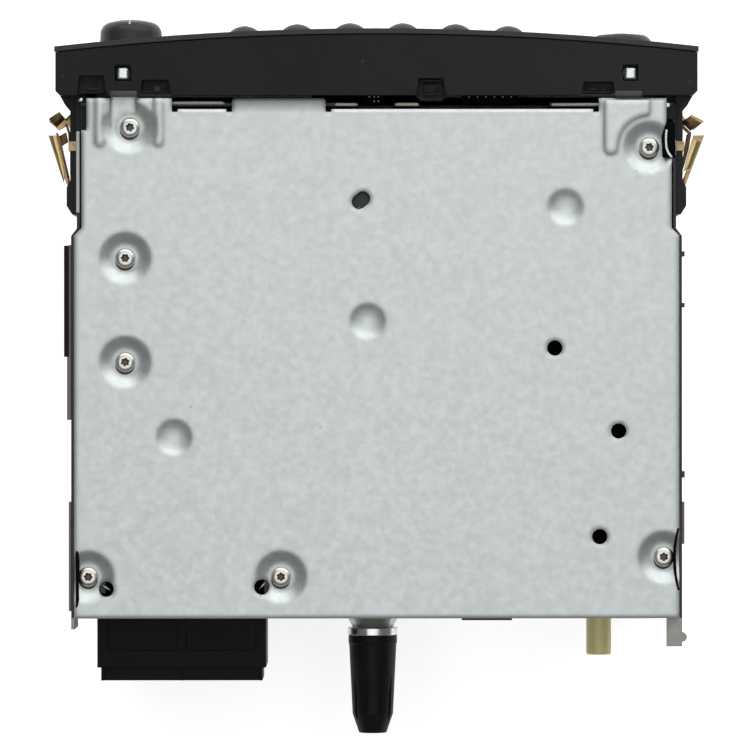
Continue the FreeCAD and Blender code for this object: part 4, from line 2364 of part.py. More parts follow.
def spindle():
    """Spindle motor on the base plate and the turntable on its shaft."""
    stator_top = f"({BASE_TOP} + stator_height)"
    stator = turned(
        "spindle_motor",
        "z",
        ("0", "spindle_y", BASE_TOP),
        (
            ("1 + running_gap", "-7"),
            ("3", "-7"),
            ("3", "0"),
            ("rotor_radius", "0"),
            ("rotor_radius", "1"),
            ("rotor_radius - 3", "stator_height"),
            ("1 + running_gap", "stator_height"),
        ),
    )
    keep(stator, "spindle_motor")
    table = f"(disc_level - {stator_top})"
    turntable = turned(
        "turntable",
        "z",
        ("0", "spindle_y", stator_top),
        (
            ("0", "-stator_height - 6"),
            ("0", f"{table} + hub_height"),
            ("hub_radius - 2", f"{table} + hub_height"),
            ("hub_radius", f"{table} + 1"),
            ("hub_radius", table),
            ("table_radius", table),
            ("table_radius", f"{table} - table_sheet"),
            ("rotor_radius", f"{table} - table_sheet"),
            ("rotor_radius", "0.4"),
            ("1", "0.4"),
            ("1", "-stator_height - 6"),
        ),
    )
    keep(turntable, "turntable")


def pickup():
    """Sled with its lens on two rods, and the lead screw. Gives back the motor that turns the screw."""
    rod_y = ("rod_start - 0.8", "base_rear + 0.4")
    rods = [
        bar(f"guide_rod_{name}", "y", (x, "rod_level"), rod_y, "axle_radius")
        for name, x in (("left", "-rod_x"), ("right", "rod_x"))
    ]
    keep(group("guide_rods", *rods), "guide_rods")
    screw_shaft = bar(
        "lead_screw",
        "y",
        ("screw_x", "rod_level"),
        ("rod_start - 2", "base_rear + 0.4"),
        "axle_radius",
    )
    keep(screw_shaft, "lead_screw")
    motor = bar(
        "sled_can",
        "y",
        ("screw_x", "rod_level"),
        ("rod_start - 16", "rod_start"),
        "axle_radius + 3.2",
    )
    hole = bar(
        "sled_bore",
        "y",
        ("screw_x", "rod_level"),
        ("rod_start - 3", "rod_start + 1"),
        "axle_radius + running_gap",
    )
    sled_motor = cut("sled_motor", motor, hole)
    deep = ("sled_start", "sled_start + sled_depth")
    low = "(rod_level - sled_height/2)"
    wide = ("-rod_x - 4", "screw_x - axle_radius - 0.3")
    body = box("sled_body", wide, deep, (low, f"{low} + sled_height"))
    neck = box(
        "sled_neck",
        ("-lens_radius - 1.5", "lens_radius + 1.5"),
        deep,
        (f"{low} + sled_height - 0.5", "base_level + 2"),
    )
    bore = bar(
        "sled_rod_bore",
        "y",
        ("rod_x", "rod_level"),
        ("sled_start - 1", "sled_start + sled_depth + 1"),
        "axle_radius + running_gap",
    )
    fork = box(
        "sled_fork",
        ("-rod_x - 5", "-rod_x + axle_radius + 0.3"),
        ("sled_start - 1", "sled_start + sled_depth + 1"),
        ("rod_level - axle_radius - running_gap", "rod_level + axle_radius + running_gap"),
    )
    sled = cut("sled_frame", fuse("sled_blank", body, neck), bore, fork)
    lens = turned(
        "pickup_lens",
        "z",
        ("0", "sled_start + sled_depth/2", "base_level + 2"),
        (
            ("0", "0"),
            ("lens_radius + 0.8", "0"),
            ("lens_radius + 0.8", "lens_top - base_level - 3.2"),
            ("lens_radius", "lens_top - base_level - 2.6"),
            ("0", "lens_top - base_level - 2"),
        ),
    )
    keep(group("pickup_sled", sled, lens), "pickup_sled")
    return sled_motor


top_cover()
bottom_cover()
side_wall(1)
side_wall(-1)
front_plate()
rear_plate()
screws()
side_brackets()
fascia_frame()
front_panel()
dust_lips()
display()
front_board()
preset_buttons()
long_keys()
volume_knob()
tilting_pad()
release_springs()
contact_pins = rear_connector()
keep(group("rear_contacts", *contact_pins, aerial_socket()), "rear_contacts")
guide_pin()
main_board()
lid_board()
mechanism_base()
suspension()
loading_motor = loading_gear()
disc_guide()
clamp_arm()
spindle()
keep(group("motors", loading_motor, pickup()), "motors")

DOC.recompute()

failed = [o.Label for o in DOC.Objects if "Invalid" in o.State or "Error" in o.State]
if failed:
    raise RuntimeError("these did not build: " + ", ".join(failed))
for name, thing in NODES:
    shape = thing.Shape
    if shape.isNull() or not shape.isValid() or shape.Volume <= 0:
        raise RuntimeError(f"{name} has no valid solid")

os.makedirs("parts", exist_ok=True)
for name, thing in NODES:
    thing.Shape.exportStep(f"parts/{name}.step")
    print(f"{name}: {len(thing.Shape.Solids)} solid(s), {thing.Shape.Volume:.1f} mm3")
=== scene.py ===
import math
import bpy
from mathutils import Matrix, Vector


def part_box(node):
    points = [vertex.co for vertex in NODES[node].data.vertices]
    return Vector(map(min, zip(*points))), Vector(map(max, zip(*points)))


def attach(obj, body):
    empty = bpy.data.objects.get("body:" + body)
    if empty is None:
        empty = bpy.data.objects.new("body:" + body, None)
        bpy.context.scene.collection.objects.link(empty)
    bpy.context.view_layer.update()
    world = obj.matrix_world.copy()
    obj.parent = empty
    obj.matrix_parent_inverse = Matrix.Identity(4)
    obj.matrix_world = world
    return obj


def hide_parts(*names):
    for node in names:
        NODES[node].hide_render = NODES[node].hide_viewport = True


bl_info = {
    "name": "Car disc player",
    "version": (1, 0, 0),
    "blender": (4, 5, 0),
    "location": "View3D > Sidebar > Disc player",
    "description": "Finishes and small parts of a double-height car disc player",
    "category": "Object",
}

import bpy
from mathutils import Matrix, Vector

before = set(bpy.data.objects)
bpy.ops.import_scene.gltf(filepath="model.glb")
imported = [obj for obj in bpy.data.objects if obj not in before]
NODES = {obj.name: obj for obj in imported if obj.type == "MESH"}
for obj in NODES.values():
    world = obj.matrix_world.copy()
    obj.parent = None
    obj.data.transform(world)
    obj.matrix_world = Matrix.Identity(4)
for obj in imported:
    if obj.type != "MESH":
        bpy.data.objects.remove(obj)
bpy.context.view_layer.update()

# The camera of the photograph: its place in metres, the columns of its turn and its lens in mm
CAMERA_PLACE = (0.003332, 0.006436, 1.39999)
CAMERA_TURN = (
    (-0.99999747, -0.00050214, 0.00219122),
    (0.00050470, -0.99999919, 0.00116845),
    (0.00219063, 0.00116956, 0.99999692),
)
CAMERA_LENS = 212.197

# How much of its own light the floor shows to the camera and to mirrors
FLOOR_GLOW = 0.70

# Where the painted shade on walls' upper cut edges turns from dark to brighter, along the depth in
# metres
TOP_SHADE_LIMIT = 0.0765
# From one side of the frame to the other, in metres, for painted shading that changes across it
SIDE_SHADING_SPAN = (0.030, -0.060)
# The large cover's front edge, with a painted highlight on its cut line and painted shade on its
# tongue: middle and half length of the highlight's run, of the tongue and of the cut line, all in
# metres, with the level it lies above and how much brighter the painted highlight is
GLINT_RUN = (-0.0026, 0.0624)
EDGE_TONGUE = (0.0284, 0.0154)
GLINT_LINE = (-0.0730, 0.0005)
EDGE_LEVEL = 0.09
GLINT_GAIN = 0.18
# Start and end of the tongue's bend along the depth, and how far painted shade darkens it
TONGUE_BEND = (-0.0763, -0.0722)
TONGUE_SHADE = 0.82


class FinishColours(bpy.types.PropertyGroup):
    """Colours of the finishes, linear."""

    casing: bpy.props.FloatVectorProperty(
        name="Casing steel", description="Zinc-plated pressed sheet of the covers",
        default=(0.565, 0.605, 0.600), subtype="COLOR", min=0.0, max=1.0,
    )
    casing_edge: bpy.props.FloatVectorProperty(
        name="Bare edge", description="Brighter steel where a sheet is cut or rubbed",
        default=(0.78, 0.80, 0.79), subtype="COLOR", min=0.0, max=1.0,
    )
    screws: bpy.props.FloatVectorProperty(
        name="Screws", description="Bright nickel plate",
        default=(0.62, 0.61, 0.57), subtype="COLOR", min=0.0, max=1.0,
    )
    fascia: bpy.props.FloatVectorProperty(
        name="Fascia", description="Dark grey moulding of the frame",
        default=(0.0098, 0.0100, 0.0103), subtype="COLOR", min=0.0, max=1.0,
    )
    panel: bpy.props.FloatVectorProperty(
        name="Front panel", description="Satin dark grey moulding of the panel",
        default=(0.0370, 0.0376, 0.0386), subtype="COLOR", min=0.0, max=1.0,
    )
    keys: bpy.props.FloatVectorProperty(
        name="Keys", description="Keys, knob and pad",
        default=(0.0400, 0.0425, 0.0435), subtype="COLOR", min=0.0, max=1.0,
    )
    brass: bpy.props.FloatVectorProperty(
        name="Brass", description="Release springs",
        default=(0.40, 0.29, 0.155), subtype="COLOR", min=0.0, max=1.0,
    )
    aerial: bpy.props.FloatVectorProperty(
        name="Aerial socket", description="Yellow passivated turned metal",
        default=(0.78, 0.68, 0.33), subtype="COLOR", min=0.0, max=1.0,
    )
    board: bpy.props.FloatVectorProperty(
        name="Circuit boards", description="Green lacquer",
        default=(0.020, 0.110, 0.055), subtype="COLOR", min=0.0, max=1.0,
    )
    black: bpy.props.FloatVectorProperty(
        name="Black mouldings", description="Connector, boot and inner mouldings",
        default=(0.0050, 0.0050, 0.0052), subtype="COLOR", min=0.0, max=1.0,
    )
    plug: bpy.props.FloatVectorProperty(
        name="Connector", description="Main connector's moulding",
        default=(0.0088, 0.0086, 0.0084), subtype="COLOR", min=0.0, max=1.0,
    )
    print_white: bpy.props.FloatVectorProperty(
        name="Key marks", description="Pale print on the keys",
        default=(0.62, 0.63, 0.64), subtype="COLOR", min=0.0, max=1.0,
    )
    backdrop: bpy.props.FloatVectorProperty(
        name="Backdrop", description="Floor under the part",
        default=(0.86, 0.86, 0.86), subtype="COLOR", min=0.0, max=1.0,
    )


class DetailSizes(bpy.types.PropertyGroup):
    """Grain of the surfaces, and strength of the lights."""

    speckle: bpy.props.FloatProperty(
        name="Zinc speckle", description="Width of the soft specks of the plating",
        default=0.0022, min=0.0002, unit="LENGTH",
    )
    grain: bpy.props.FloatProperty(
        name="Moulding grain", description="Width of the fine grain of the mouldings",
        default=0.00045, min=0.00005, unit="LENGTH",
    )
    lamp: bpy.props.FloatProperty(
        name="Main lamp", description="Power of the large soft lamp, in watts",
        default=25.0, min=0.0,
    )
    overhead: bpy.props.FloatProperty(
        name="Overhead lamp", description="Power of the wide lamp above the floor, in watts",
        default=17.0, min=0.0,
    )
    sky: bpy.props.FloatProperty(
        name="Sky", description="Strength of the even light all round",
        default=0.14, min=0.0,
    )


# Small helpers


def leave_edit():
    """Back to object mode."""
    bpy.ops.object.mode_set(mode="OBJECT")


def edit_all():
    """Edit mode with the whole mesh selected."""
    bpy.ops.object.mode_set(mode="EDIT")
    bpy.ops.mesh.select_all(action="SELECT")


def deselect():
    """Nothing selected, so that an operator acts only on what is added next."""
    if bpy.context.object is not None and bpy.context.object.mode != "OBJECT":
        leave_edit()
    bpy.ops.object.select_all(action="DESELECT")


def select_only(thing):
    """One object selected and active."""
    deselect()
    thing.select_set(True)
    bpy.context.view_layer.objects.active = thing


def apply_all():
    """Puts an object's place, turn and scale into its mesh."""
    bpy.ops.object.transform_apply(location=True, rotation=True, scale=True)


def grey(level):
    """The same number three times over."""
    return (level, level, level)


def colours():
    return bpy.context.scene.player_colours


def details():
    return bpy.context.scene.player_details


def corner(node, end, axis):
    """One coordinate of a CAD node's box."""
    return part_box(node)[end]["xyz".index(axis)]


# Materials. An input takes a value, a node for its first output, or a (node, output) pair.


def put(tree, node, into, content):
    """Feeds one input of a node."""
    if isinstance(content, bpy.types.Node):
        content = (content, 0)
    if isinstance(content, tuple) and isinstance(content[0], bpy.types.Node):
        tree.links.new(content[0].outputs[content[1]], node.inputs[into])
    else:
        node.inputs[into].default_value = content


def add(tree, kind, *operands, inputs=None, **values):
    """A shader node with its properties and with its inputs in order or by name."""
    node = tree.nodes.new(f"ShaderNode{kind}")
    for key, value in values.items():
        setattr(node, key, value)
    for into, content in (*enumerate(operands), *(inputs or {}).items()):
        put(tree, node, into, content)
    return node


def maths(tree, operation, *operands, **values):
    return add(tree, "Math", *operands, operation=operation, **values)


def new_group(name, inputs, outputs):
    """An empty shader node group with its sockets, and its two ends."""
    group = bpy.data.node_groups.new(name, "ShaderNodeTree")
    for label, value in inputs.items():
        kind = "NodeSocketFloat" if isinstance(value, float) else "NodeSocketVector"
        socket = group.interface.new_socket(label, in_out="INPUT", socket_type=kind)
        if value is not None:
            socket.default_value = value
    for label in outputs:
        kind = "NodeSocketVector" if label == "Normal" else "NodeSocketFloat"
        group.interface.new_socket(label, in_out="OUTPUT", socket_type=kind)
    return group, group.nodes.new("NodeGroupInput"), group.nodes.new("NodeGroupOutput")


def ended(group, end, **outputs):
    """The group with its results linked to its outputs."""
    for label, content in outputs.items():
        put(group, end, label, content)
    return group


def mottle_group():
    """Soft patches with finer specks on them: a tone about 1 and a height."""
    inputs = {"Vector": None, "Scale": 400.0, "Contrast": 0.05}
    group, start, end = new_group("soft_mottle", inputs, ("Tone", "Height"))
    place, scale = (start, "Vector"), (start, "Scale")
    wide = {"Vector": place, "Scale": scale, "Detail": 2.0, "Roughness": 0.55}
    finer = maths(group, "MULTIPLY", scale, 7.0)
    fine = {"Vector": place, "Scale": finer, "Detail": 1.0, "Roughness": 0.5}
    patches = (add(group, "TexNoise", inputs=wide), "Fac")
    specks = (add(group, "TexNoise", inputs=fine), "Fac")
    both = maths(group, "MULTIPLY_ADD", specks, 0.45, patches)
    level = maths(group, "SUBTRACT", both, 0.725)
    tone = maths(group, "MULTIPLY_ADD", level, (start, "Contrast"), 1.0)
    return ended(group, end, Tone=tone, Height=both)


def edge_group():
    """Edges of a sheet or moulding: a mask, and a normal that rounds them a little."""
    inputs = {"Radius": 0.0004, "Spread": 0.25}
    group, start, end = new_group("rubbed_edge", inputs, ("Mask", "Normal"))
    bevel = add(group, "Bevel", inputs={"Radius": (start, "Radius")}, samples=6)
    ways = (bevel, "Normal"), (add(group, "NewGeometry"), "Normal")
    facing = add(group, "VectorMath", *ways, operation="DOT_PRODUCT")
    off = maths(group, "SUBTRACT", 1.0, (facing, "Value"))
    mask = maths(group, "DIVIDE", off, (start, "Spread"), use_clamp=True)
    return ended(group, end, Mask=mask, Normal=(bevel, "Normal"))


def fleck_group():
    """A few tiny pits and short scuffs: a mask."""
    inputs = {"Vector": None, "Scale": 160.0, "Amount": 0.25}
    group, start, end = new_group("handling_marks", inputs, ("Mask",))
    place = (start, "Vector")
    cells = add(group, "TexVoronoi", inputs={"Vector": place, "Scale": (start, "Scale")})
    bend = add(group, "TexNoise", inputs={"Vector": place, "Scale": 300.0, "Detail": 1.0})
    near = maths(group, "LESS_THAN", (cells, "Distance"), 0.045)
    pick = add(group, "SeparateColor", (cells, "Color"))
    chosen = maths(group, "LESS_THAN", pick, (start, "Amount"))
    both = maths(group, "MULTIPLY", near, chosen)
    return ended(group, end, Mask=maths(group, "MULTIPLY", both, (bend, "Fac")))


def brush_group():
    """Fine lines along one way, as from rolling or turning: a tone about 1 and a height."""
    inputs = {"Vector": None, "Stretch": (1.0, 30.0, 30.0), "Contrast": 0.1}
    group, start, end = new_group("drawn_lines", inputs, ("Tone", "Height"))
    ways = (start, "Vector"), (start, "Stretch")
    stretch = add(group, "VectorMath", *ways, operation="MULTIPLY")
    noise = add(group, "TexNoise", inputs={"Vector": stretch, "Scale": 100.0, "Detail": 3.0})
    level = maths(group, "SUBTRACT", (noise, "Fac"), 0.5)
    tone = maths(group, "MULTIPLY_ADD", level, (start, "Contrast"), 1.0)
    return ended(group, end, Tone=tone, Height=(noise, "Fac"))


def track_group():
    """Copper tracks under lacquer, and small solder pads: two masks."""
    inputs = {"Vector": None, "Scale": 260.0}
    group, start, end = new_group("board_tracks", inputs, ("Track", "Pad"))
    inputs = {label: (start, label) for label in inputs}
    cells, edges = (
        add(group, "TexVoronoi", inputs=inputs, distance=distance, feature="F1")
        for distance in ("CHEBYCHEV", "MANHATTAN")
    )
    rings = maths(group, "PINGPONG", (cells, "Distance"), 0.12)
    tracks = maths(group, "GREATER_THAN", rings, 0.07)
    pads = maths(group, "LESS_THAN", (edges, "Distance"), 0.10)
    return ended(group, end, Track=tracks, Pad=pads)


def cut_top_group():
    """Upward faces of an upright sheet, for painted shade on them: one mask in front of a limit and
    one behind it.
    """
    inputs = {"Vector": None, "Limit": TOP_SHADE_LIMIT}
    group, start, end = new_group("cut_top", inputs, ("Front", "Rear"))
    place = add(group, "SeparateXYZ", (start, "Vector"))
    way = add(group, "SeparateXYZ", (add(group, "NewGeometry"), "Normal"))
    upward = maths(group, "GREATER_THAN", (way, "Z"), 0.6)
    behind = maths(group, "GREATER_THAN", (place, "Y"), (start, "Limit"))
    ahead = maths(group, "SUBTRACT", 1.0, behind)
    front, rear = (maths(group, "MULTIPLY", upward, part) for part in (ahead, behind))
    return ended(group, end, Front=front, Rear=rear)


def across_group():
    """Painted shading: a tone that changes from one side of the part to the other."""
    inputs = {"Vector": None, "Left": 1.0, "Right": 1.0}
    group, start, end = new_group("across_tone", inputs, ("Tone",))
    place = add(group, "SeparateXYZ", (start, "Vector"))
    ends = (start, "Left"), (start, "Right")
    tone = add(group, "MapRange", (place, "X"), *SIDE_SHADING_SPAN, *ends)
    return ended(group, end, Tone=tone)


def front_edge_group():
    """The front of the large cover: a painted highlight on its cut line, and painted shade on a
    tongue where it bends down.
    """
    group, start, end = new_group("front_edge", {"Vector": None}, ("Tone",))
    place = add(group, "SeparateXYZ", (start, "Vector"))
    top = maths(group, "GREATER_THAN", (place, "Z"), EDGE_LEVEL)
    run = maths(group, "COMPARE", (place, "X"), *GLINT_RUN)
    tongue = maths(group, "COMPARE", (place, "X"), *EDGE_TONGUE)
    line = maths(group, "COMPARE", (place, "Y"), *GLINT_LINE)
    fall = add(group, "MapRange", (place, "Y"), *TONGUE_BEND, TONGUE_SHADE, 0.0)
    rest = maths(group, "SUBTRACT", 1.0, tongue)
    glint = maths(group, "MULTIPLY", line, run)
    plain = maths(group, "MULTIPLY", glint, rest)
    upper = maths(group, "MULTIPLY", plain, top)
    lift = maths(group, "MULTIPLY_ADD", upper, GLINT_GAIN, 1.0)
    dark = maths(group, "MULTIPLY", tongue, fall)
    shade = maths(group, "MULTIPLY", dark, top)
    return ended(group, end, Tone=maths(group, "SUBTRACT", lift, shade))


GROUP_MAKERS = {
    "soft_mottle": mottle_group,
    "rubbed_edge": edge_group,
    "handling_marks": fleck_group,
    "drawn_lines": brush_group,
    "board_tracks": track_group,
    "cut_top": cut_top_group,
    "across_tone": across_group,
    "front_edge": front_edge_group,
}
GROUPS = {}


def effect(tree, name, **inputs):
    """One of the shared effects, placed in a material with its own values and links."""
    if name not in GROUPS:
        GROUPS[name] = GROUP_MAKERS[name]()
    node = tree.nodes.new("ShaderNodeGroup")
    node.node_tree = GROUPS[name]
    for into, content in inputs.items():
        put(tree, node, into, content)
    return node


def empty_material(name):
    """A material without nodes, and its tree."""
    material = bpy.data.materials.new(name)
    material.use_nodes = True
    material.node_tree.nodes.clear()
    return material, material.node_tree


def start_material(name, roughness, metallic=0.0):
    """A material's tree, its shader and the object's coordinates."""
    material, tree = empty_material(name)
    values = {"Roughness": roughness, "Metallic": metallic}
    shader = add(tree, "BsdfPrincipled", inputs=values)
    add(tree, "OutputMaterial", shader)
    return material, tree, shader, (add(tree, "TexCoord"), "Object")


def tinted(tree, tint, *effects):
    """A colour times the tones of one or more effects."""
    tone = (effects[0], "Tone")
    for other in effects[1:]:
        tone = maths(tree, "MULTIPLY", tone, (other, "Tone"))
    inputs = {"Factor": 1.0, "A": (*tint, 1.0), "B": tone}
    return add(tree, "Mix", inputs=inputs, data_type="RGBA", blend_type="MULTIPLY"), "Result"


def blended(tree, low, high, mask):
    """From one link or colour to another, by a mask."""
    ends = (
        content if isinstance(content[0], bpy.types.Node) else (*content, 1.0)
        for content in (low, high)
    )
    inputs = dict(zip(("A", "B", "Factor"), (*ends, mask)))
    return add(tree, "Mix", inputs=inputs, data_type="RGBA"), "Result"


def bumped(tree, shader, height, strength, distance, edges=None):
    """A bump, on the normal of rounded edges if they are given, that feeds the shader."""
    inputs = {"Strength": strength, "Distance": distance, "Height": height}
    if edges is not None:
        inputs["Normal"] = (edges, "Normal")
    put(tree, shader, "Normal", add(tree, "Bump", inputs=inputs))


def spread(tree, source, low, high, from_low=0.0, from_high=1.0):
    """A value carried from one range to another."""
    return add(tree, "MapRange", source, from_low, from_high, low, high)


def times(factor, tint):
    return tuple(min(1.0, factor * channel) for channel in tint)


def sheet_metal(
    name, tint, edge, roughness, metallic, scale, contrast, wear=0.35, soft=0.0004, top_shades=(),
    front=False,
):
    """Plated pressed sheet: soft patches and specks, marks, bright cut edges and soft bends;
    painted shade on upper cut edges, and a painted highlight and shade along a front edge, where
    asked.
    """
    material, tree, shader, coords = start_material(name, roughness, metallic)
    mottle = effect(tree, "soft_mottle", Vector=coords, Scale=scale, Contrast=contrast)
    broad = effect(tree, "soft_mottle", Vector=coords, Scale=scale / 14, Contrast=contrast * 0.8)
    marks = effect(tree, "handling_marks", Vector=coords, Scale=130.0, Amount=0.16)
    edges = effect(tree, "rubbed_edge", Radius=0.00035, Spread=0.30)
    bends = effect(tree, "rubbed_edge", Radius=soft, Spread=0.30)
    tones = [mottle, broad]
    # Painted highlight along the front edge, and painted shade on its tongue
    if front:
        tones.append(effect(tree, "front_edge", Vector=coords))
    base = blended(tree, tinted(tree, tint, *tones), times(0.35, tint), (marks, "Mask"))
    base = blended(tree, base, edge, maths(tree, "MULTIPLY", (edges, "Mask"), wear))
    # Painted shade on the upward cut edges, darker in front of the limit
    if top_shades:
        top_shade = effect(tree, "cut_top", Vector=coords, Limit=TOP_SHADE_LIMIT)
        for top, part in zip(top_shades, ("Front", "Rear")):
            base = blended(tree, base, top, (top_shade, part))
    put(tree, shader, "Base Color", base)
    rough = spread(tree, (mottle, "Height"), roughness - 0.05, roughness + 0.07, 0.5, 0.95)
    put(tree, shader, "Roughness", rough)
    bumped(tree, shader, (mottle, "Height"), 0.05, 0.00004, bends)
    return material


def turned_metal(name, tint, roughness, stretch, contrast=0.10, metallic=1.0, spots=None):
    """Machined, drawn or plated metal with fine lines, and spots where the plating is dull."""
    material, tree, shader, coords = start_material(name, roughness, metallic)
    lines = effect(tree, "drawn_lines", Vector=coords, Stretch=stretch, Contrast=contrast)
    mottle = effect(tree, "soft_mottle", Vector=coords, Scale=700.0, Contrast=contrast)
    edges = effect(tree, "rubbed_edge", Radius=0.0002, Spread=0.35)
    base = tinted(tree, tint, lines, mottle)
    if spots is not None:
        dull = spread(tree, (mottle, "Height"), 0.0, 0.8, 0.72, 0.92)
        base = blended(tree, base, spots, dull)
    put(tree, shader, "Base Color", base)
    rough = spread(tree, (lines, "Height"), roughness - 0.06, roughness + 0.10, 0.3, 0.7)
    put(tree, shader, "Roughness", rough)
    bumped(tree, shader, (lines, "Height"), 0.2, 0.00003, edges)
    return material


def moulding(
    name, tint, roughness, grain, relief=0.35, edge_lift=1.6, shine=0.18, sides=None
):
    """Moulded plastic: a fine grain, a slightly lighter rubbed edge and uneven gloss."""
    material, tree, shader, coords = start_material(name, roughness)
    put(tree, shader, "Specular IOR Level", shine)
    skin = effect(tree, "soft_mottle", Vector=coords, Scale=1.0 / grain, Contrast=0.22)
    broad = effect(tree, "soft_mottle", Vector=coords, Scale=45.0, Contrast=0.25)
    edges = effect(tree, "rubbed_edge", Radius=0.0003, Spread=0.35)
    tones = [skin, broad]
    # Painted shading that darkens one side of the part
    if sides is not None:
        left, right = sides
        tones.append(effect(tree, "across_tone", Vector=coords, Left=left, Right=right))
    base = tinted(tree, tint, *tones)
    base = blended(tree, base, times(edge_lift, tint), (edges, "Mask"))
    put(tree, shader, "Base Color", base)
    rough = spread(tree, (broad, "Height"), roughness - 0.04, roughness + 0.06, 0.5, 0.95)
    put(tree, shader, "Roughness", rough)
    bumped(tree, shader, (skin, "Height"), relief, 0.00003, edges)
    return material


def lacquered_board(name, tint):
    """A circuit board: tracks that show through the lacquer, and tinned pads."""
    material, tree, shader, coords = start_material(name, 0.32)
    tracks = effect(tree, "board_tracks", Vector=coords, Scale=260.0)
    mottle = effect(tree, "soft_mottle", Vector=coords, Scale=300.0, Contrast=0.20)
    base = blended(tree, tinted(tree, tint, mottle), times(1.9, tint), (tracks, "Track"))
    base = blended(tree, base, (0.55, 0.56, 0.55), (tracks, "Pad"))
    put(tree, shader, "Base Color", base)
    put(tree, shader, "Metallic", (tracks, "Pad"))
    bumped(tree, shader, (tracks, "Track"), 0.4, 0.00005)
    return material


def smoked_glass(name, tint):
    """Clear dark plastic, polished, with a faint unevenness of its tone."""
    material, tree, shader, coords = start_material(name, 0.02)
    for label, value in (
        ("Transmission Weight", 0.92),
        ("IOR", 1.49),
        ("Specular IOR Level", 0.3),
    ):
        put(tree, shader, label, value)
    mottle = effect(tree, "soft_mottle", Vector=coords, Scale=140.0, Contrast=0.06)
    put(tree, shader, "Base Color", tinted(tree, tint, mottle))
    return material


def dress(material, *names):
    """Gives a material to CAD nodes or to new pieces."""
    for name in names:
        thing = NODES.get(name) or bpy.data.objects[name]
        if not thing.material_slots:
            thing.data.materials.append(material)
        for slot in thing.material_slots:
            slot.material = material


# Finishes. Numbers of a sheet: roughness, metal, scale, contrast. Of a moulding: roughness,
# grain, relief, lift of its edges, shine. Of a turned metal: roughness, stretch, contrast, metal.

# Painted shading from the darker to the lighter side of the frame, as factors of its colour
FRAME_SIDE_SHADING = (0.62, 1.08)
# Tones of painted shade on upper cut edges, in front of the limit and behind it
WALL_TOP_SHADES = ((0.030, 0.028, 0.027), (0.26, 0.27, 0.24))
BRACKET_TOP_SHADES = ((0.10, 0.095, 0.085), (0.26, 0.27, 0.24))
BRIGHT = grey(0.8)
# Painted shade on the lid's board, as a factor of the lacquer's colour
LID_SHADE = 0.16
PRESETS = range(1, 7)


class PLAYER_OT_casing_finish(bpy.types.Operator):
    """Zinc-plated sheet of the casing, its screws and its brackets"""

    bl_idname = "player.casing_finish"
    bl_label = "Casing finish"

    def execute(self, context):
        shade = colours()
        steel = (shade.casing, shade.casing_edge)
        scale = 1.0 / details().speckle
        cover = sheet_metal(
            "casing_cover", *steel, 0.47, 0.85, scale, 0.021, soft=0.0022, front=True
        )
        dress(cover, "top_cover", "bottom_cover")
        wall = sheet_metal("casing_wall", *steel, 0.40, 0.6, scale, 0.07, top_shades=WALL_TOP_SHADES)
        dress(wall, "side_wall_left", "side_wall_right", "rear_plate")
        # The front plate's steel is painted near black: painted shade in the gap between the frame
        # and the cover
        dull = sheet_metal("dull_sheet", grey(0.008), grey(0.05), 0.5, 0.3, scale, 0.1)
        dress(dull, "front_plate")
        tin = (0.56, 0.58, 0.58)
        bracket = sheet_metal(
            "tinned_sheet", tin, BRIGHT, 0.30, 0.8, scale, 0.08, top_shades=BRACKET_TOP_SHADES
        )
        dress(bracket, "side_brackets", "tuner_shield")
        screw = turned_metal("nickel_screw", shade.screws, 0.32, (18.0, 18.0, 1.0), 0.03)
        dress(screw, "casing_screws")
        # Painted shade in the screws' recesses; the screws' heads take this one by its name
        turned_metal("screw_recess", (0.13, 0.12, 0.10), 0.5, grey(6.0), 0.12, 0.5)
        dress(moulding("foam_pad", (0.012, 0.012, 0.013), 0.85, 0.0007, 0.9), "side_pad")
        return {"FINISHED"}


class PLAYER_OT_fascia_finish(bpy.types.Operator):
    """Dark mouldings of the fascia, its keys, knob and pad, and the window"""

    bl_idname = "player.fascia_finish"
    bl_label = "Fascia finish"

    def execute(self, context):
        shade = colours()
        grain = details().grain
        rim = moulding("frame_plastic", shade.fascia, 0.46, grain, sides=FRAME_SIDE_SHADING)
        dress(rim, "fascia_frame")
        dress(moulding("panel_plastic", shade.panel, 0.42, grain, 0.25, 1.5), "front_panel")
        key = moulding("key_plastic", shade.keys, 0.38, grain, 0.2)
        dress(key, "source_key", "menu_key", "eject_key", "centre_button")
        dress(key, *(f"preset_button_{number}" for number in PRESETS))
        knob = moulding("knob_plastic", shade.keys, 0.34, grain, 0.2, 1.7)
        dress(knob, "volume_knob", "tilting_pad")
        dress(moulding("flocked_lip", grey(0.004), 0.95, 0.0004, 1.0, 1.2), "dust_lips")
        dress(smoked_glass("smoked_lens", (0.30, 0.31, 0.32)), "display_lens")
        screen = moulding("display_glass", (0.012, 0.016, 0.015), 0.45, 0.001, 0.01, 1.2)
        dress(screen, "display")
        return {"FINISHED"}


class PLAYER_OT_spring_finish(bpy.types.Operator):
    """Brass of the release springs"""

    bl_idname = "player.spring_finish"
    bl_label = "Spring finish"

    def execute(self, context):
        spots = (0.20, 0.13, 0.07)
        brass = turned_metal(
            "spring_brass", colours().brass, 0.36, (6.0, 6.0, 0.6), 0.12, 0.9, spots
        )
        dress(brass, "release_spring_left", "release_spring_right", "spring_mounts")
        return {"FINISHED"}


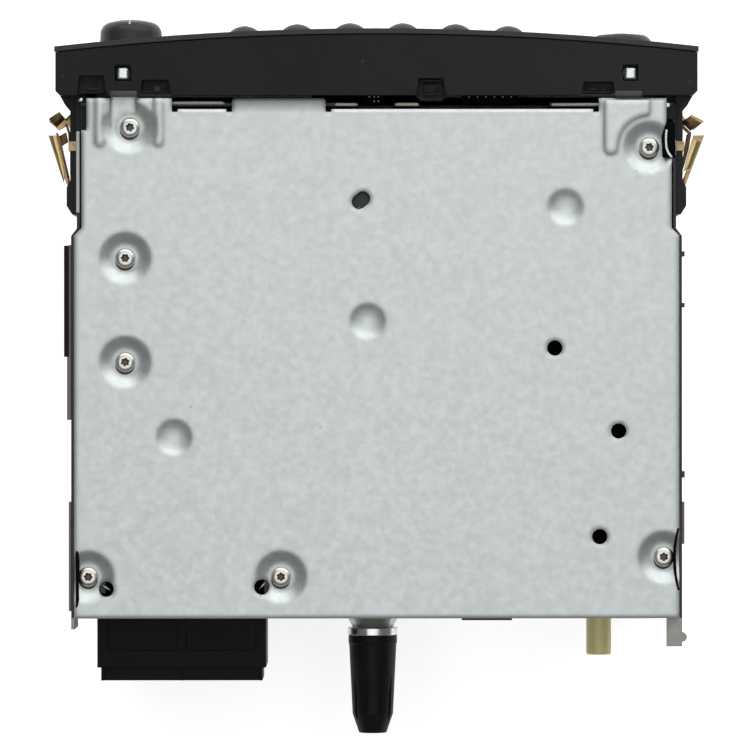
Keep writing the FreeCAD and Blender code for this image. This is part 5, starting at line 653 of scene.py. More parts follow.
class PLAYER_OT_rear_finish(bpy.types.Operator):
    """Connector, aerial socket, guide pin and its boot"""

    bl_idname = "player.rear_finish"
    bl_label = "Rear finish"

    def execute(self, context):
        shade = colours()
        plug = moulding("connector_plastic", shade.plug, 0.5, details().grain, 0.3, 1.9, 0.1)
        dress(plug, "rear_connector")
        drawn = (20.0, 1.0, 20.0)
        aerial = turned_metal("passivated_metal", shade.aerial, 0.5, drawn, 0.06, 0.15)
        dress(aerial, "aerial_socket")
        contact = turned_metal("contact_metal", (0.80, 0.64, 0.32), 0.25, (8.0, 1.0, 8.0), 0.08)
        dress(contact, "rear_contacts")
        dress(turned_metal("pin_steel", (0.70, 0.70, 0.69), 0.24, drawn), "guide_pin")
        dress(moulding("boot_rubber", shade.black, 0.52, 0.0006, 0.5, 1.5), "guide_boot")
        return {"FINISHED"}


class PLAYER_OT_board_finish(bpy.types.Operator):
    """Circuit boards and what stands on them"""

    bl_idname = "player.board_finish"
    bl_label = "Board finish"

    def execute(self, context):
        green = colours().board
        dress(lacquered_board("lacquered_board", green), "front_board", "main_board")
        # The lid's board takes a darker copy of the lacquer: painted shade
        dress(lacquered_board("lid_lacquer", times(LID_SHADE, green)), "lid_board")
        sleeve = moulding("can_sleeve", (0.010, 0.014, 0.030), 0.30, 0.001, 0.1)
        dress(sleeve, "capacitors")
        chip = moulding("chip_package", (0.010, 0.010, 0.011), 0.55, 0.0004, 0.4, 1.5)
        dress(chip, "board_parts", "key_switches")
        bush = turned_metal("plated_can", (0.62, 0.62, 0.61), 0.28, (1.0, 12.0, 12.0))
        dress(bush, "encoder", "encoder_plunger")
        return {"FINISHED"}


class PLAYER_OT_mechanism_finish(bpy.types.Operator):
    """Plates, shafts, gears and motors of the disc mechanism"""

    bl_idname = "player.mechanism_finish"
    bl_label = "Mechanism finish"

    def execute(self, context):
        steel = (0.52, 0.55, 0.53)
        base = sheet_metal("mechanism_plate", steel, BRIGHT, 0.36, 0.8, 500.0, 0.08)
        dress(base, "mechanism_base", "mechanism_brackets", "clamp_arm")
        dress(moulding("damper_rubber", grey(0.012), 0.7, 0.0008, 0.4), "dampers")
        sleeve = moulding("roller_rubber", (0.016, 0.016, 0.017), 0.6, 0.0005, 0.6)
        dress(sleeve, "roller_rubber")
        rod = turned_metal("ground_shaft", grey(0.74), 0.16, (1.0, 24.0, 24.0), 0.06)
        dress(rod, "roller_shaft", "guide_rods", "lead_screw")
        white = moulding("gear_plastic", (0.62, 0.60, 0.54), 0.42, 0.0008, 0.1, 1.1)
        dress(white, "idler_gear", "motor_pinion")
        black = moulding("mechanism_plastic", (0.012, 0.012, 0.013), 0.5, 0.0006, 0.3)
        dress(black, "disc_guide", "clamper", "turntable", "pickup_sled")
        can = turned_metal("motor_can", (0.60, 0.61, 0.61), 0.26, (1.0, 14.0, 14.0))
        dress(can, "motors", "spindle_motor")
        return {"FINISHED"}


# Modelling, as by hand. Places and sizes are in millimetres.

# Edges sharper than this, in degrees, are softened on a finished piece
SHARP = 32.0
# Where a mesh keeps each kind of element
ELEMENTS = {"VERT": "vertices", "EDGE": "edges", "FACE": "polygons"}


def mm(*values):
    """Millimetres as metres."""
    return tuple(0.001 * value for value in values)


def named(name):
    """The object that an operator has just added, under its name."""
    bpy.context.object.name = name
    return bpy.context.object


def modify(kind, **values):
    """Gives the active object a modifier with its values and applies it."""
    bpy.ops.object.modifier_add(type=kind)
    modifier = bpy.context.object.modifiers[-1]
    for key, value in values.items():
        setattr(modifier, key, value)
    bpy.ops.object.modifier_apply(modifier=modifier.name)


def blank(name, low, high):
    """A block between two corners."""
    deselect()
    middle = mm(*((start + end) / 2 for start, end in zip(low, high)))
    bpy.ops.mesh.primitive_cube_add(size=1.0, location=middle)
    thing = named(name)
    thing.scale = mm(*(end - start for start, end in zip(low, high)))
    apply_all()
    return thing


def drum(name, centre, radius, height, sides=24):
    """An upright round blank on its centre."""
    deselect()
    bpy.ops.mesh.primitive_cylinder_add(
        vertices=sides, radius=0.001 * radius, depth=0.001 * height, location=mm(*centre)
    )
    apply_all()
    return named(name)


def pick(thing, kind, test):
    """Selects in edit mode the vertices, edges or faces that pass a test."""
    bpy.ops.object.mode_set(mode="EDIT")
    bpy.ops.mesh.select_mode(type=kind)
    bpy.ops.mesh.select_all(action="DESELECT")
    leave_edit()
    for element in getattr(thing.data, ELEMENTS[kind]):
        element.select = test(element)
    bpy.ops.object.mode_set(mode="EDIT")


def choose(thing, kind, test):
    """Selects vertices by their place, or edges or faces by their middle and way."""

    def placed(element):
        if kind == "VERT":
            return test(element.co * 1000.0)
        if kind == "FACE":
            return test(element.center * 1000.0, element.normal)
        start, end = (thing.data.vertices[index].co for index in element.vertices)
        return test((start + end) * 500.0, (end - start).normalized())

    pick(thing, kind, placed)


def push(x=0.0, y=0.0, z=0.0):
    """Extrudes what is selected."""
    bpy.ops.mesh.extrude_region_move(TRANSFORM_OT_translate={"value": mm(x, y, z)})


def shift(x=0.0, y=0.0, z=0.0):
    """Moves what is selected."""
    bpy.ops.transform.translate(value=mm(x, y, z))


def swing(angle, axis):
    """Turns what is selected about an axis through the origin."""
    bpy.ops.transform.rotate(value=angle, orient_axis=axis, center_override=(0.0, 0.0, 0.0))


def narrow(size, level):
    """Scales what is selected towards the upright axis."""
    bpy.ops.transform.resize(value=(size, size, 1.0), center_override=mm(0.0, 0.0, level))


def inset(rim, depth=0.0):
    """Insets the selected faces, and lifts them by a depth."""
    bpy.ops.mesh.inset(thickness=0.001 * rim, depth=0.001 * depth)


def pocket(thing, level, rim, depth):
    """Sinks the top face of a block within a rim."""
    choose(thing, "FACE", lambda at, way: way.z > 0.9 and abs(at.z - level) < 0.02)
    inset(rim)
    push(z=-depth)


def upright(at, way):
    return abs(way.z) > 0.9


def above(level):
    """Edges over a level."""
    return lambda at, way: at.z > level


def across_above(level):
    """Edges over a level that run from side to side."""
    return lambda at, way: abs(way.x) > 0.9 and at.z > level


def rounded(thing, offset, segments, test=upright):
    """A blank with the chosen edges rounded."""
    choose(thing, "EDGE", test)
    bpy.ops.mesh.bevel(offset=0.001 * offset, segments=segments, affect="EDGES")
    return thing


def finish_piece(thing, material, slot, body="chassis", width=0.0, segments=2, angle=35.0):
    """Softens a piece's edges, dresses it in a material or its name and puts it on its body."""
    leave_edit()
    if width:
        limit = {"limit_method": "ANGLE", "angle_limit": math.radians(SHARP)}
        modify("BEVEL", width=0.001 * width, segments=segments, **limit)
    apply_all()
    bpy.ops.object.shade_smooth_by_angle(angle=math.radians(angle))
    if isinstance(material, str):
        material = bpy.data.materials[material]
    if material is not None:
        thing.data.materials.clear()
        thing.data.materials.append(material)
    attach(thing, body)


def block(name, low, high, material, slot, *rounds, sink=None, **values):
    """A finished block: some edges rounded, and its top sunk by a rim and a depth."""
    thing = blank(name, low, high)
    for edges in rounds:
        rounded(thing, *edges)
    if sink is not None:
        pocket(thing, high[2], *sink)
    finish_piece(thing, material, slot, **values)


def copied(thing, name, place, turn=0.0):
    """A copy with its own mesh, turned about the upright axis and then moved."""
    select_only(thing)
    bpy.ops.object.duplicate()
    other = named(name)
    edit_all()
    if turn:
        swing(turn, "Z")
    shift(*place)
    leave_edit()
    return other


def joined(name, things):
    """Several pieces made one object."""
    select_only(things[0])
    for thing in things:
        thing.select_set(True)
    bpy.ops.object.join()
    return named(name)


def move_point(thing, index, *place):
    """Moves one vertex of a mesh to a place."""
    way = Vector(mm(*place)) - thing.data.vertices[index].co
    pick(thing, "VERT", lambda point: point.index == index)
    bpy.ops.transform.translate(value=way)
    leave_edit()


def sheet_piece(name, rows):
    """A grid whose points are moved to the given rows of places."""
    deselect()
    bpy.ops.mesh.primitive_grid_add(
        x_subdivisions=len(rows[0]) - 1, y_subdivisions=len(rows) - 1, size=2.0
    )
    thing = named(name)
    order = sorted(
        (round(point.co.y, 4), round(point.co.x, 4), point.index)
        for point in thing.data.vertices
    )
    places = (place for row in rows for place in row)
    for (*_, index), place in zip(order, places):
        move_point(thing, index, *place)
    return thing


def thickened(thing, thickness):
    """A sheet given its thickness, half to each side."""
    edit_all()
    bpy.ops.mesh.normals_make_consistent(inside=False)
    leave_edit()
    modify("SOLIDIFY", thickness=0.001 * thickness, offset=0.0)
    return thing


def ribbon(name, points, low, high, thickness):
    """An upright strip seen edge-on, along its points."""
    rows = [[(x, y, level) for x, y in points] for level in (low, high)]
    return thickened(sheet_piece(name, rows), thickness)


def polygon(name, places, fill):
    """A flat face whose points are moved to the given places, a fan's middle last."""
    deselect()
    corners = len(places) - (fill == "TRIFAN")
    bpy.ops.mesh.primitive_circle_add(vertices=corners, radius=1.0, fill_type=fill)
    thing = named(name)
    for index, place in enumerate(places):
        move_point(thing, index, *place)
    edit_all()
    return thing


def plate(name, outline, low, high):
    """A flat piece of the given outline between two levels."""
    thing = polygon(name, [(x, y, low) for x, y in outline], "NGON")
    push(z=high - low)
    bpy.ops.mesh.select_all(action="SELECT")
    bpy.ops.mesh.normals_make_consistent(inside=False)
    leave_edit()
    return thing


# Pieces

# Stretch of the drawn lines on pins and wires
ROUND_LINES = (8.0, 8.0, 1.0)


def len_xy(at):
    return math.hypot(at.x, at.y)


# How far in and up each ring of a screw's dome stands from the one before
HEAD_STEPS = ((0.06, 0.22), (0.15, 0.26), (0.29, 0.24), (0.40, 0.17), (0.48, 0.09), (0.27, 0.0))
# Radius and height of the blank it starts as, and the level of its rim
HEAD_BLANK = (2.98, 1.6)
HEAD_RIM = 0.6
# The recess: its widest radius, its depth and its floor's size
RECESS_RADIUS = 1.5
RECESS_DEPTH = 1.2
RECESS_FLOOR = 0.60
# The recess's 24 points: which of them stand in, one of how many, and by what size
LOBES = ((1, 2, 0.90), (2, 4, 0.72))

# Places of the screws, with their turns
COVER_SCREWS = (
    (72.6, -68.0, 0.3),
    (74.0, -29.5, 1.1),
    (74.0, 1.1, 0.7),
    (84.9, 64.3, 0.1),
    (28.2, 64.3, 1.5),
    (-80.3, -62.1, 0.9),
    (-84.5, 58.5, 0.5),
)
FLOOR_SCREWS = ((74.0, -56.5, 0.2), (74.0, 56.5, 0.8), (-74.0, -56.5, 1.2), (-74.0, 56.5, 0.6))
COVER_SEAT, FLOOR_SEAT = 97.6, 2.4
# Shanks under them: radius, height and sides, and the levels of their middles
SHANK = (1.4, 6.0, 16)
SHANK_LEVELS = ((94.9, COVER_SCREWS), (5.1, FLOOR_SCREWS))
# Dark discs of painted shadow under the cover screws' heads: radius, height and sides, and how far
# their middles stand off the cover screws'
SHADOW_DISC = (2.9, 0.2, 28)
SHADOW_DISC_OFF = (0.1, 0.75, 0.06)


def screw_head():
    """One domed head with a six-lobed recess, centred on the axis with its seat at level 0."""
    radius, height = HEAD_BLANK
    head = drum("screw_head", (0.0, 0.0, HEAD_RIM - height / 2), radius, height)
    choose(head, "FACE", lambda at, way: way.z > 0.95)
    for inward, upward in HEAD_STEPS:
        inset(inward, upward)
    top = HEAD_RIM + sum(upward for _, upward in HEAD_STEPS)

    for remainder, period, size in LOBES:

        def lobe(at):
            step = round(math.degrees(math.atan2(at.y, at.x)) / 15.0)
            near = at.z > top - 0.02 and len_xy(at) < RECESS_RADIUS
            return near and step % period == remainder

        choose(head, "VERT", lobe)
        narrow(size, top)
    choose(head, "FACE", lambda at, way: way.z > 0.95 and at.z > top - 0.02 and len_xy(at) < 0.2)
    push(z=-RECESS_DEPTH)
    narrow(RECESS_FLOOR, top - RECESS_DEPTH)
    leave_edit()
    for name in ("nickel_screw", "screw_recess"):
        head.data.materials.append(bpy.data.materials[name])
    # Faces inside the recess take the darker material: painted shade
    for face in head.data.polygons:
        inside = face.center.xy.length < 0.0014 and face.center.z < 0.001 * top - 0.0001
        face.material_index = int(inside and face.center.z > 0.0)
    return head


def heads_at(pattern, side, screws, seat):
    """Copies of a screw's head on their seats."""
    return [
        copied(pattern, f"{side}_screw_{number}", (x, y, seat), turn)
        for number, (x, y, turn) in enumerate(screws)
    ]


class PLAYER_OT_screws(bpy.types.Operator):
    """Domed screws with six-lobed recesses, in the covers' pressed recesses"""

    bl_idname = "player.screws"
    bl_label = "Casing screws"

    def execute(self, context):
        pattern = screw_head()
        things = heads_at(pattern, "cover", COVER_SCREWS, COVER_SEAT)
        select_only(pattern)
        edit_all()
        swing(math.pi, "X")
        leave_edit()
        things += heads_at(pattern, "floor", FLOOR_SCREWS, FLOOR_SEAT)
        bpy.data.objects.remove(pattern)
        places = [(x, y, level) for level, screws in SHANK_LEVELS for x, y, _ in screws]
        things += [drum(f"shank_{n}", place, *SHANK) for n, place in enumerate(places)]
        # Dark discs on the dishes' floors: painted shadows of the cover screws' heads
        dark = turned_metal("washer_steel", (0.075, 0.066, 0.050), 0.5, grey(6.0), 0.2, 0.6)
        shadow_discs = []
        right, back, up = SHADOW_DISC_OFF
        for number, (x, y, _) in enumerate(COVER_SCREWS):
            place = (x + right, y + back, COVER_SEAT + up)
            shadow_disc = drum(f"washer_{number}", place, *SHADOW_DISC)
            shadow_discs.append(rounded(shadow_disc, 0.08, 2, above(97.7)))
        finish_piece(joined("screw_washers", shadow_discs), dark, "screw_steel")
        whole = joined("domed_screws", things)
        finish_piece(whole, None, "screw_steel", angle=25.0)
        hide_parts("casing_screws")
        return {"FINISHED"}


# Behind the notches: lower and upper corners of the trays and of the contact lands
NOTCH_TRAYS = (
    ((79.7, -84.0, 96.6), (88.3, -77.9, 98.9)),
    ((60.6, -82.4, 96.6), (69.8, -77.9, 98.9)),
    ((-70.2, -81.9, 96.6), (-60.3, -77.9, 98.9)),
)
CONTACT_LANDS = (
    ((63.5, -80.3, 97.7), (65.7, -78.6, 98.4)),
    ((-64.8, -79.5, 97.7), (-62.4, -78.9, 98.4)),
    ((-64.8, -78.7, 97.7), (-62.4, -78.1, 98.4)),
    ((-67.0, -79.4, 97.7), (-66.3, -78.6, 98.4)),
)
# Ends and middle of the latch's two lips, lighter bars that paint its highlights
LATCH_LIPS = ((-16.9, -14.2, -78.5), (-17.9, -13.8, -77.7))


class PLAYER_OT_notch_parts(bpy.types.Operator):
    """Trays, latch and contact lands behind the notches of the frame's rear edge"""

    bl_idname = "player.notch_parts"
    bl_label = "Notch parts"

    def execute(self, context):
        plastic = "fascia_plastic"
        dark = moulding("tray_plastic", (0.0045, 0.0045, 0.0047), 0.5, 0.0005, 0.3, 2.2, 0.2)
        # Lighter plastic for the latch's lips and the bar in the first notch: painted highlights
        highlight_plastic = moulding("latch_plastic", (0.016, 0.016, 0.017), 0.42, 0.0005, 0.3, 2.0, 0.3)
        land = moulding("contact_land", (0.036, 0.036, 0.022), 0.45, 0.0008, 0.2, 1.2)
        for number, corners in enumerate(NOTCH_TRAYS, 1):
            tray = (f"notch_tray_{number}", *corners, dark, plastic)
            block(*tray, (0.9, 3), sink=(0.8, 1.1), width=0.12)
        block("notch_bar", (81.9, -79.5, 97.7), (85.1, -79.0, 98.6), highlight_plastic, plastic, width=0.15)
        for number, corners in enumerate(CONTACT_LANDS, 1):
            pad = (f"contact_land_{number}", *corners, land, "contact_metal")
            block(*pad, width=0.14, segments=3)

        latch = ("fascia_latch", (-20.35, -82.1, 95.0), (-11.65, -75.6, 99.6), dark, plastic)
        block(*latch, (1.25, 1), sink=(0.85, 1.2), width=0.18, segments=3)

        def front_top(at, way):
            return abs(way.x) > 0.9 and at.z > 98.5 and at.y < -80

        tooth = ("latch_tooth", (-18.1, -81.0, 98.0), (-13.9, -78.5, 98.9), dark, plastic)
        block(*tooth, (0.6, 3, front_top), width=0.12)
        for number, (x_low, x_high, y) in enumerate(LATCH_LIPS):
            low, high = (x_low, y - 0.16, 98.2), (x_high, y + 0.16, 99.3)
            lip = (f"latch_lip_{number}", low, high, highlight_plastic, plastic)
            block(*lip, (0.14, 3, across_above(99.0)), width=0.05)
        return {"FINISHED"}


# Sides of the two headers' blocks, and where their pins stand
HEADER_BLOCKS = ((-41.9, -25.3), (-2.0, 3.6))
HEADER_PINS = (
    (-27.27, -77.15), (-29.84, -77.15), (-32.23, -77.15), (-34.79, -77.15), (-37.24, -77.15),
    (-39.75, -77.15), (2.11, -77.2), (0.70, -77.2), (-0.56, -77.2), (0.70, -75.85),
    (-0.56, -75.85),
)


class PLAYER_OT_header_pins(bpy.types.Operator):
    """Two pin headers between the frame and the front plate"""

    bl_idname = "player.header_pins"
    bl_label = "Pin headers"

    def execute(self, context):
        black = moulding("header_plastic", grey(0.0012), 0.6, 0.0006, 0.3, 1.4, 0.05)
        tin = turned_metal("tinned_pin", (0.30, 0.30, 0.29), 0.35, ROUND_LINES, 0.08)
        for number, (x_low, x_high) in enumerate(HEADER_BLOCKS, 1):
            low, high = (x_low, -78.2, 92.5), (x_high, -75.15, 95.6)
            header = (f"pin_header_{number}", low, high, black, "switch_plastic")
            block(*header, sink=(0.35, 0.5), width=0.12)
        pin = rounded(drum("pin_pattern", (0.0, 0.0, 0.0), 0.32, 3.2, 12), 0.2, 3, above(1.55))
        pins = [copied(pin, f"pin_{n}", (x, y, 94.9)) for n, (x, y) in enumerate(HEADER_PINS)]
        bpy.data.objects.remove(pin)
        finish_piece(joined("header_pins", pins), tin, "contact_metal")
        return {"FINISHED"}


class PLAYER_OT_catch_hooks(bpy.types.Operator):
    """Bright pressed hooks of the cover's tongues in the frame's windows"""

    bl_idname = "player.catch_hooks"
    bl_label = "Catch hooks"

    def execute(self, context):
        bright = sheet_metal("hook_steel", (0.62, 0.65, 0.66), BRIGHT, 0.26, 0.85, 600.0, 0.04)
        for number, x in enumerate((74.6, -74.75)):
            low, high = (x - 2.35, -86.2, 98.05), (x + 2.35, -81.6, 98.5)
            # A dark seat around each hook: painted shade in the frame's window
            seat = (f"hook_seat_{number}", low, high, "tray_plastic", "fascia_plastic")
            block(*seat, (0.3, 2), width=0.06)
            low, high = (x - 1.78, -85.75, 98.1), (x + 1.78, -81.95, 100.2)
            front = (1.0, 4, lambda at, way: upright(at, way) and at.y < -84.0)
            hook = (f"catch_hook_{number}", low, high, bright, "casing_steel")
            block(*hook, front, (0.95, 5, above(100.1)), angle=60.0)
        return {"FINISHED"}


# Lower and upper corners of the caps over the walls' front edges
ARM_CAPS = (
    ("arm_cap_left", (84.9, -76.6, 97.45), (88.75, -67.1, 98.35)),
    ("arm_cap_right", (-88.75, -75.2, 97.45), (-84.9, -70.4, 98.35)),
)
# Places and radii of the rivets beside them
ARM_RIVETS = ((-85.75, -74.5, 0.85), (87.0, -76.1, 0.72))
# Cuts along the knurled edge, and how far apart they are
KNURLS = 95
KNURL_PITCH = 0.251


class PLAYER_OT_arm_caps(bpy.types.Operator):
    """Black caps over the walls' front edges, a knurled bright edge and two rivets"""

    bl_idname = "player.arm_caps"
    bl_label = "Arm caps"

    def execute(self, context):
        black = moulding("cap_plastic", (0.0032, 0.0032, 0.0034), 0.5, 0.0006, 0.3, 1.8, 0.2)
        for name, low, high in ARM_CAPS:
            cap = (name, low, high, black, "fascia_plastic")
            block(*cap, (0.2, 3), sink=(0.15, 0.2), width=0.12)
        steel = (0.36, 0.36, 0.355)
        bright = sheet_metal("bare_edge", steel, grey(0.7), 0.35, 0.6, 900.0, 0.12)
        strip = blank("knurled_edge", (87.5, -67.0, 97.4), (88.5, -42.9, 97.95))
        choose(strip, "EDGE", lambda at, way: abs(way.y) > 0.9)
        bpy.ops.mesh.subdivide(number_cuts=KNURLS)

        def tooth(at):
            return at.x < 87.6 and round((at.y + 67.0) / KNURL_PITCH) % 2 == 1

        choose(strip, "VERT", tooth)
        shift(x=-0.16)
        finish_piece(strip, bright, "casing_steel")
        for number, (x, y, radius) in enumerate(ARM_RIVETS):
            rivet = drum(f"arm_rivet_{number}", (x, y, 98.6), radius, 1.2, 20)
            finish_piece(rounded(rivet, 0.5, 5, above(99.15)), "nickel_screw", "screw_steel")
        return {"FINISHED"}


EJECTOR_MARKS = ((92.3, -82.8), (-92.05, -81.2), (4.1, -87.3))


class PLAYER_OT_moulding_marks(bpy.types.Operator):
    """Round ejector marks on the frame's top"""

    bl_idname = "player.moulding_marks"
    bl_label = "Moulding marks"

    def execute(self, context):
        mark = moulding("rubbed_plastic", (0.030, 0.031, 0.033), 0.34, 0.0004, 0.3, 2.0, 0.4)
        top = 1000.0 * corner("fascia_frame", 1, "z")
        for number, (x, y) in enumerate(EJECTOR_MARKS):
            ring = drum(f"ejector_mark_{number}", (x, y, top - 0.05), 0.48, 0.24, 20)
            choose(ring, "FACE", lambda at, way: way.z > 0.9)
            inset(0.16)
            push(z=-0.12)
            finish_piece(ring, mark, "fascia_plastic", width=0.04)
        return {"FINISHED"}


# Places of the springs' visible folds: leaf, ear, inner leaf and edge-on strips
SPRING_FOLDS = {
    "right": {
        "leaf": (
            ((97.1, -65.9, 89.9), (95.9, -66.1, 90.7), (94.9, -66.2, 90.6)),
            ((94.9, -59.0, 90.0), (94.1, -59.6, 90.7), (93.5, -60.2, 90.6)),
            ((92.7, -52.3, 90.0), (92.5, -53.0, 90.4), (92.2, -54.5, 90.4)),
        ),
        "ear": (
            ((97.1, -71.0, 90.2), (95.5, -72.1, 90.4), (93.9, -73.1, 90.4)),
            ((95.9, -69.7, 90.7), (94.4, -70.9, 90.8), (93.1, -72.0, 90.7)),
            ((94.7, -68.6, 90.1), (93.4, -69.8, 90.2), (92.3, -71.0, 90.1)),
        ),
        "inner": (
            ((91.8, -67.0, 91.2), (92.9, -66.4, 91.2), (94.0, -65.8, 91.1)),
            ((91.2, -64.0, 91.2), (92.3, -63.4, 91.2), (93.0, -62.9, 91.1)),
        ),
        "strips": (
            ((94.8, -66.9), (93.6, -63.0), (92.3, -57.4), (91.4, -53.5)),
            ((92.0, -69.5), (91.1, -66.6), (90.95, -64.2)),
            ((92.2, -70.6), (91.7, -71.0), (89.8, -72.9)),
        ),
    },
    "left": {
        "leaf": (
            ((-96.2, -64.1, 89.9), (-94.9, -64.5, 90.7), (-93.5, -65.0, 90.6)),
            ((-94.6, -60.3, 90.0), (-93.4, -60.4, 90.7), (-92.2, -60.4, 90.6)),
            ((-93.0, -56.4, 90.0), (-92.0, -55.9, 90.4), (-90.9, -55.2, 90.4)),
        ),
        "ear": (
            ((-96.2, -69.6, 90.4), (-94.6, -70.7, 90.6), (-92.9, -71.7, 90.4)),
            ((-94.7, -68.6, 90.7), (-93.0, -69.7, 90.9), (-91.4, -70.8, 90.8)),
            ((-93.0, -67.4, 90.1), (-91.5, -68.8, 90.2), (-90.2, -69.9, 90.1)),
        ),
        "inner": (
            ((-92.9, -66.9, 91.2), (-92.4, -66.6, 91.2), (-91.8, -66.2, 91.1)),
            ((-91.2, -58.0, 91.2), (-90.8, -57.8, 91.2), (-90.4, -57.4, 91.1)),
        ),
        "strips": (
            ((-93.2, -67.0), (-92.5, -62.5), (-91.3, -58.0), (-90.2, -54.4)),
            ((-87.9, -71.5), (-89.7, -69.9), (-93.1, -66.7)),
        ),
    },
}


# Parts of a spring that aren't strips: name, material and whether they move with the spring
SPRING_PARTS = (
    ("leaf", "spring_brass", True),
    ("ear", "aged_brass", False),
    ("inner", "aged_brass", False),
)


class PLAYER_OT_spring_details(bpy.types.Operator):
    """Folded faces, inner leaf and edge-on strips of the release springs"""

    bl_idname = "player.spring_details"
    bl_label = "Spring folds"

    def execute(self, context):
        # A darker copy of the brass for the ear, the inner leaf and the edge-on strips: painted
        # shade
        shaded_brass = turned_metal("aged_brass", (0.105, 0.068, 0.030), 0.42, (6.0, 6.0, 0.6), 0.20, 0.9)
        for name, folds in SPRING_FOLDS.items():
            bodies = ("chassis", f"release_spring_{name}")
            for part, material, moves in SPRING_PARTS:
                fold = thickened(sheet_piece(f"{part}_fold_{name}", folds[part]), 0.25)
                finish_piece(fold, material, "spring_brass", bodies[moves], width=0.05)
            for number, points in enumerate(folds["strips"]):
                top = 91.3 if number else 90.3
                piece = ribbon(f"spring_strip_{name}_{number}", points, 84.0, top, 0.34)
                finish_piece(piece, shaded_brass, "spring_brass", bodies[number == 0])
        return {"FINISHED"}


# Ends of the links in their holes, the level they start from, and their wire
LINK_ENDS = (((81.1, 66.6), (78.7, 68.2)), ((34.7, 68.1), (32.8, 66.0)))
LINK_LEVEL = 96.0
LINK_RADIUS = 0.26


class PLAYER_OT_wire_links(bpy.types.Operator):
    """Bare wire links of the upper board, seen through the rear holes"""

    bl_idname = "player.wire_links"
    bl_label = "Wire links"

    def execute(self, context):
        tin = turned_metal("link_wire", (0.86, 0.86, 0.84), 0.45, ROUND_LINES, 0.04)
        rise = Vector(mm(0.0, 0.0, 1.0))
        for number, ends in enumerate(LINK_ENDS):
            deselect()
            bpy.ops.curve.primitive_bezier_curve_add(location=(0.0, 0.0, 0.0))
            wire = named(f"wire_link_{number}").data
            start, end = (Vector(mm(*place, LINK_LEVEL)) for place in ends)
            reach = (end - start) * 0.2
            points = wire.splines[0].bezier_points
            for point, place, way in zip(points, (start, end), (1.0, -1.0)):
                point.handle_left_type = point.handle_right_type = "FREE"
                point.co = place
                point.handle_left = place - way * reach + rise
                point.handle_right = place + way * reach + rise
            wire.bevel_depth = 0.001 * LINK_RADIUS
            wire.bevel_resolution = 3
            wire.use_fill_caps = True
            bpy.ops.object.convert(target="MESH")
            finish_piece(context.object, tin, "contact_metal")
        return {"FINISHED"}


# Outlines of the bright upper edges of the front plate between its notches
TAB_OUTLINES = (
    ((60.4, -75.0), (59.4, -75.6), (45.6, -75.6), (44.4, -75.0), (45.6, -74.7), (59.4, -74.7)),
    ((12.5, -74.5), (11.8, -75.1), (6.2, -75.1), (5.4, -74.5), (6.2, -74.25), (11.8, -74.25)),
    (
        (-5.3, -74.5), (-6.0, -75.15), (-11.9, -75.15),
        (-12.6, -74.5), (-11.9, -74.25), (-6.0, -74.25),
    ),
    (
        (-51.2, -74.5), (-52.0, -75.05), (-65.2, -75.05),
        (-65.6, -74.5), (-65.2, -74.2), (-52.0, -74.2),
    ),
)
# Sides of the two tongues
TONGUES = ((70.45, 78.35), (-78.05, -70.1))


class PLAYER_OT_plate_tabs(bpy.types.Operator):
    """Bare upper edges of the front plate, dark sheets of painted shade on the cover's tongues
    before them, and a tape
    """

    bl_idname = "player.plate_tabs"
    bl_label = "Plate edges and tongues"

    def execute(self, context):
        steel = ((0.25, 0.235, 0.20), (0.6, 0.6, 0.58))
        bare = sheet_metal("plate_edge", *steel, 0.4, 0.5, 900.0, 0.2)
        for number, outline in enumerate(TAB_OUTLINES):
            tab = plate(f"plate_tab_{number}", outline, 98.9, 99.25)
            finish_piece(tab, bare, "casing_steel", width=0.1)
        # Dark sheets over the tongues where they pass under the frame: painted shade
        steel = ((0.052, 0.053, 0.042), (0.1, 0.1, 0.08))
        dull = sheet_metal("dull_tongue", *steel, 0.5, 0.3, 700.0, 0.2)
        for number, (x_low, x_high) in enumerate(TONGUES):
            low, high = (x_low, -78.6, 99.85), (x_high, -76.9, 101.0)
            edges = (0.25, 3, across_above(100.9))
            block(f"tongue_sleeve_{number}", low, high, dull, "casing_steel", edges, width=0.08)
        brown = moulding("brown_tape", (0.050, 0.042, 0.029), 0.6, 0.0008, 0.2, 1.3)
        tape = ("rear_tape", (-39.8, 76.3, 98.2), (-25.0, 77.1, 99.3), brown, "pad_foam")
        block(*tape, (0.3, 3, across_above(99.2)), width=0.05)
        return {"FINISHED"}


# Black pieces of painted shade in the gaps where a dish opens through the cover's side, and the
# points of a bright folded lip
GAP_SHADE_OUTLINES = {
    "rear_left": (
        (88.55, 57.0), (88.1, 56.4), (87.6, 57.2), (87.45, 60.0), (87.55, 63.2),
        (87.8, 65.6), (87.65, 68.6), (87.5, 71.0), (87.9, 73.0), (88.5, 73.5),
    ),
    "rear_right": (
        (-89.05, 50.0), (-88.45, 52.8), (-88.05, 56.0), (-88.0, 59.0), (-88.15, 62.5),
        (-88.5, 65.4), (-89.1, 68.2), (-88.5, 68.3), (-87.8, 65.6), (-87.4, 62.5),
        (-87.25, 59.0), (-87.35, 55.9), (-87.8, 52.6), (-88.4, 50.0),
    ),
    "front_right": (
        (-85.2, -69.5), (-87.9, -69.5), (-87.9, -58.9), (-85.1, -58.9), (-84.2, -59.2),
        (-84.1, -62.4), (-83.9, -65.3), (-84.4, -67.0),
    ),
}
LIP_POINTS = ((-85.25, -67.2), (-85.1, -64.6), (-85.25, -61.7), (-85.9, -60.2), (-86.9, -59.0))


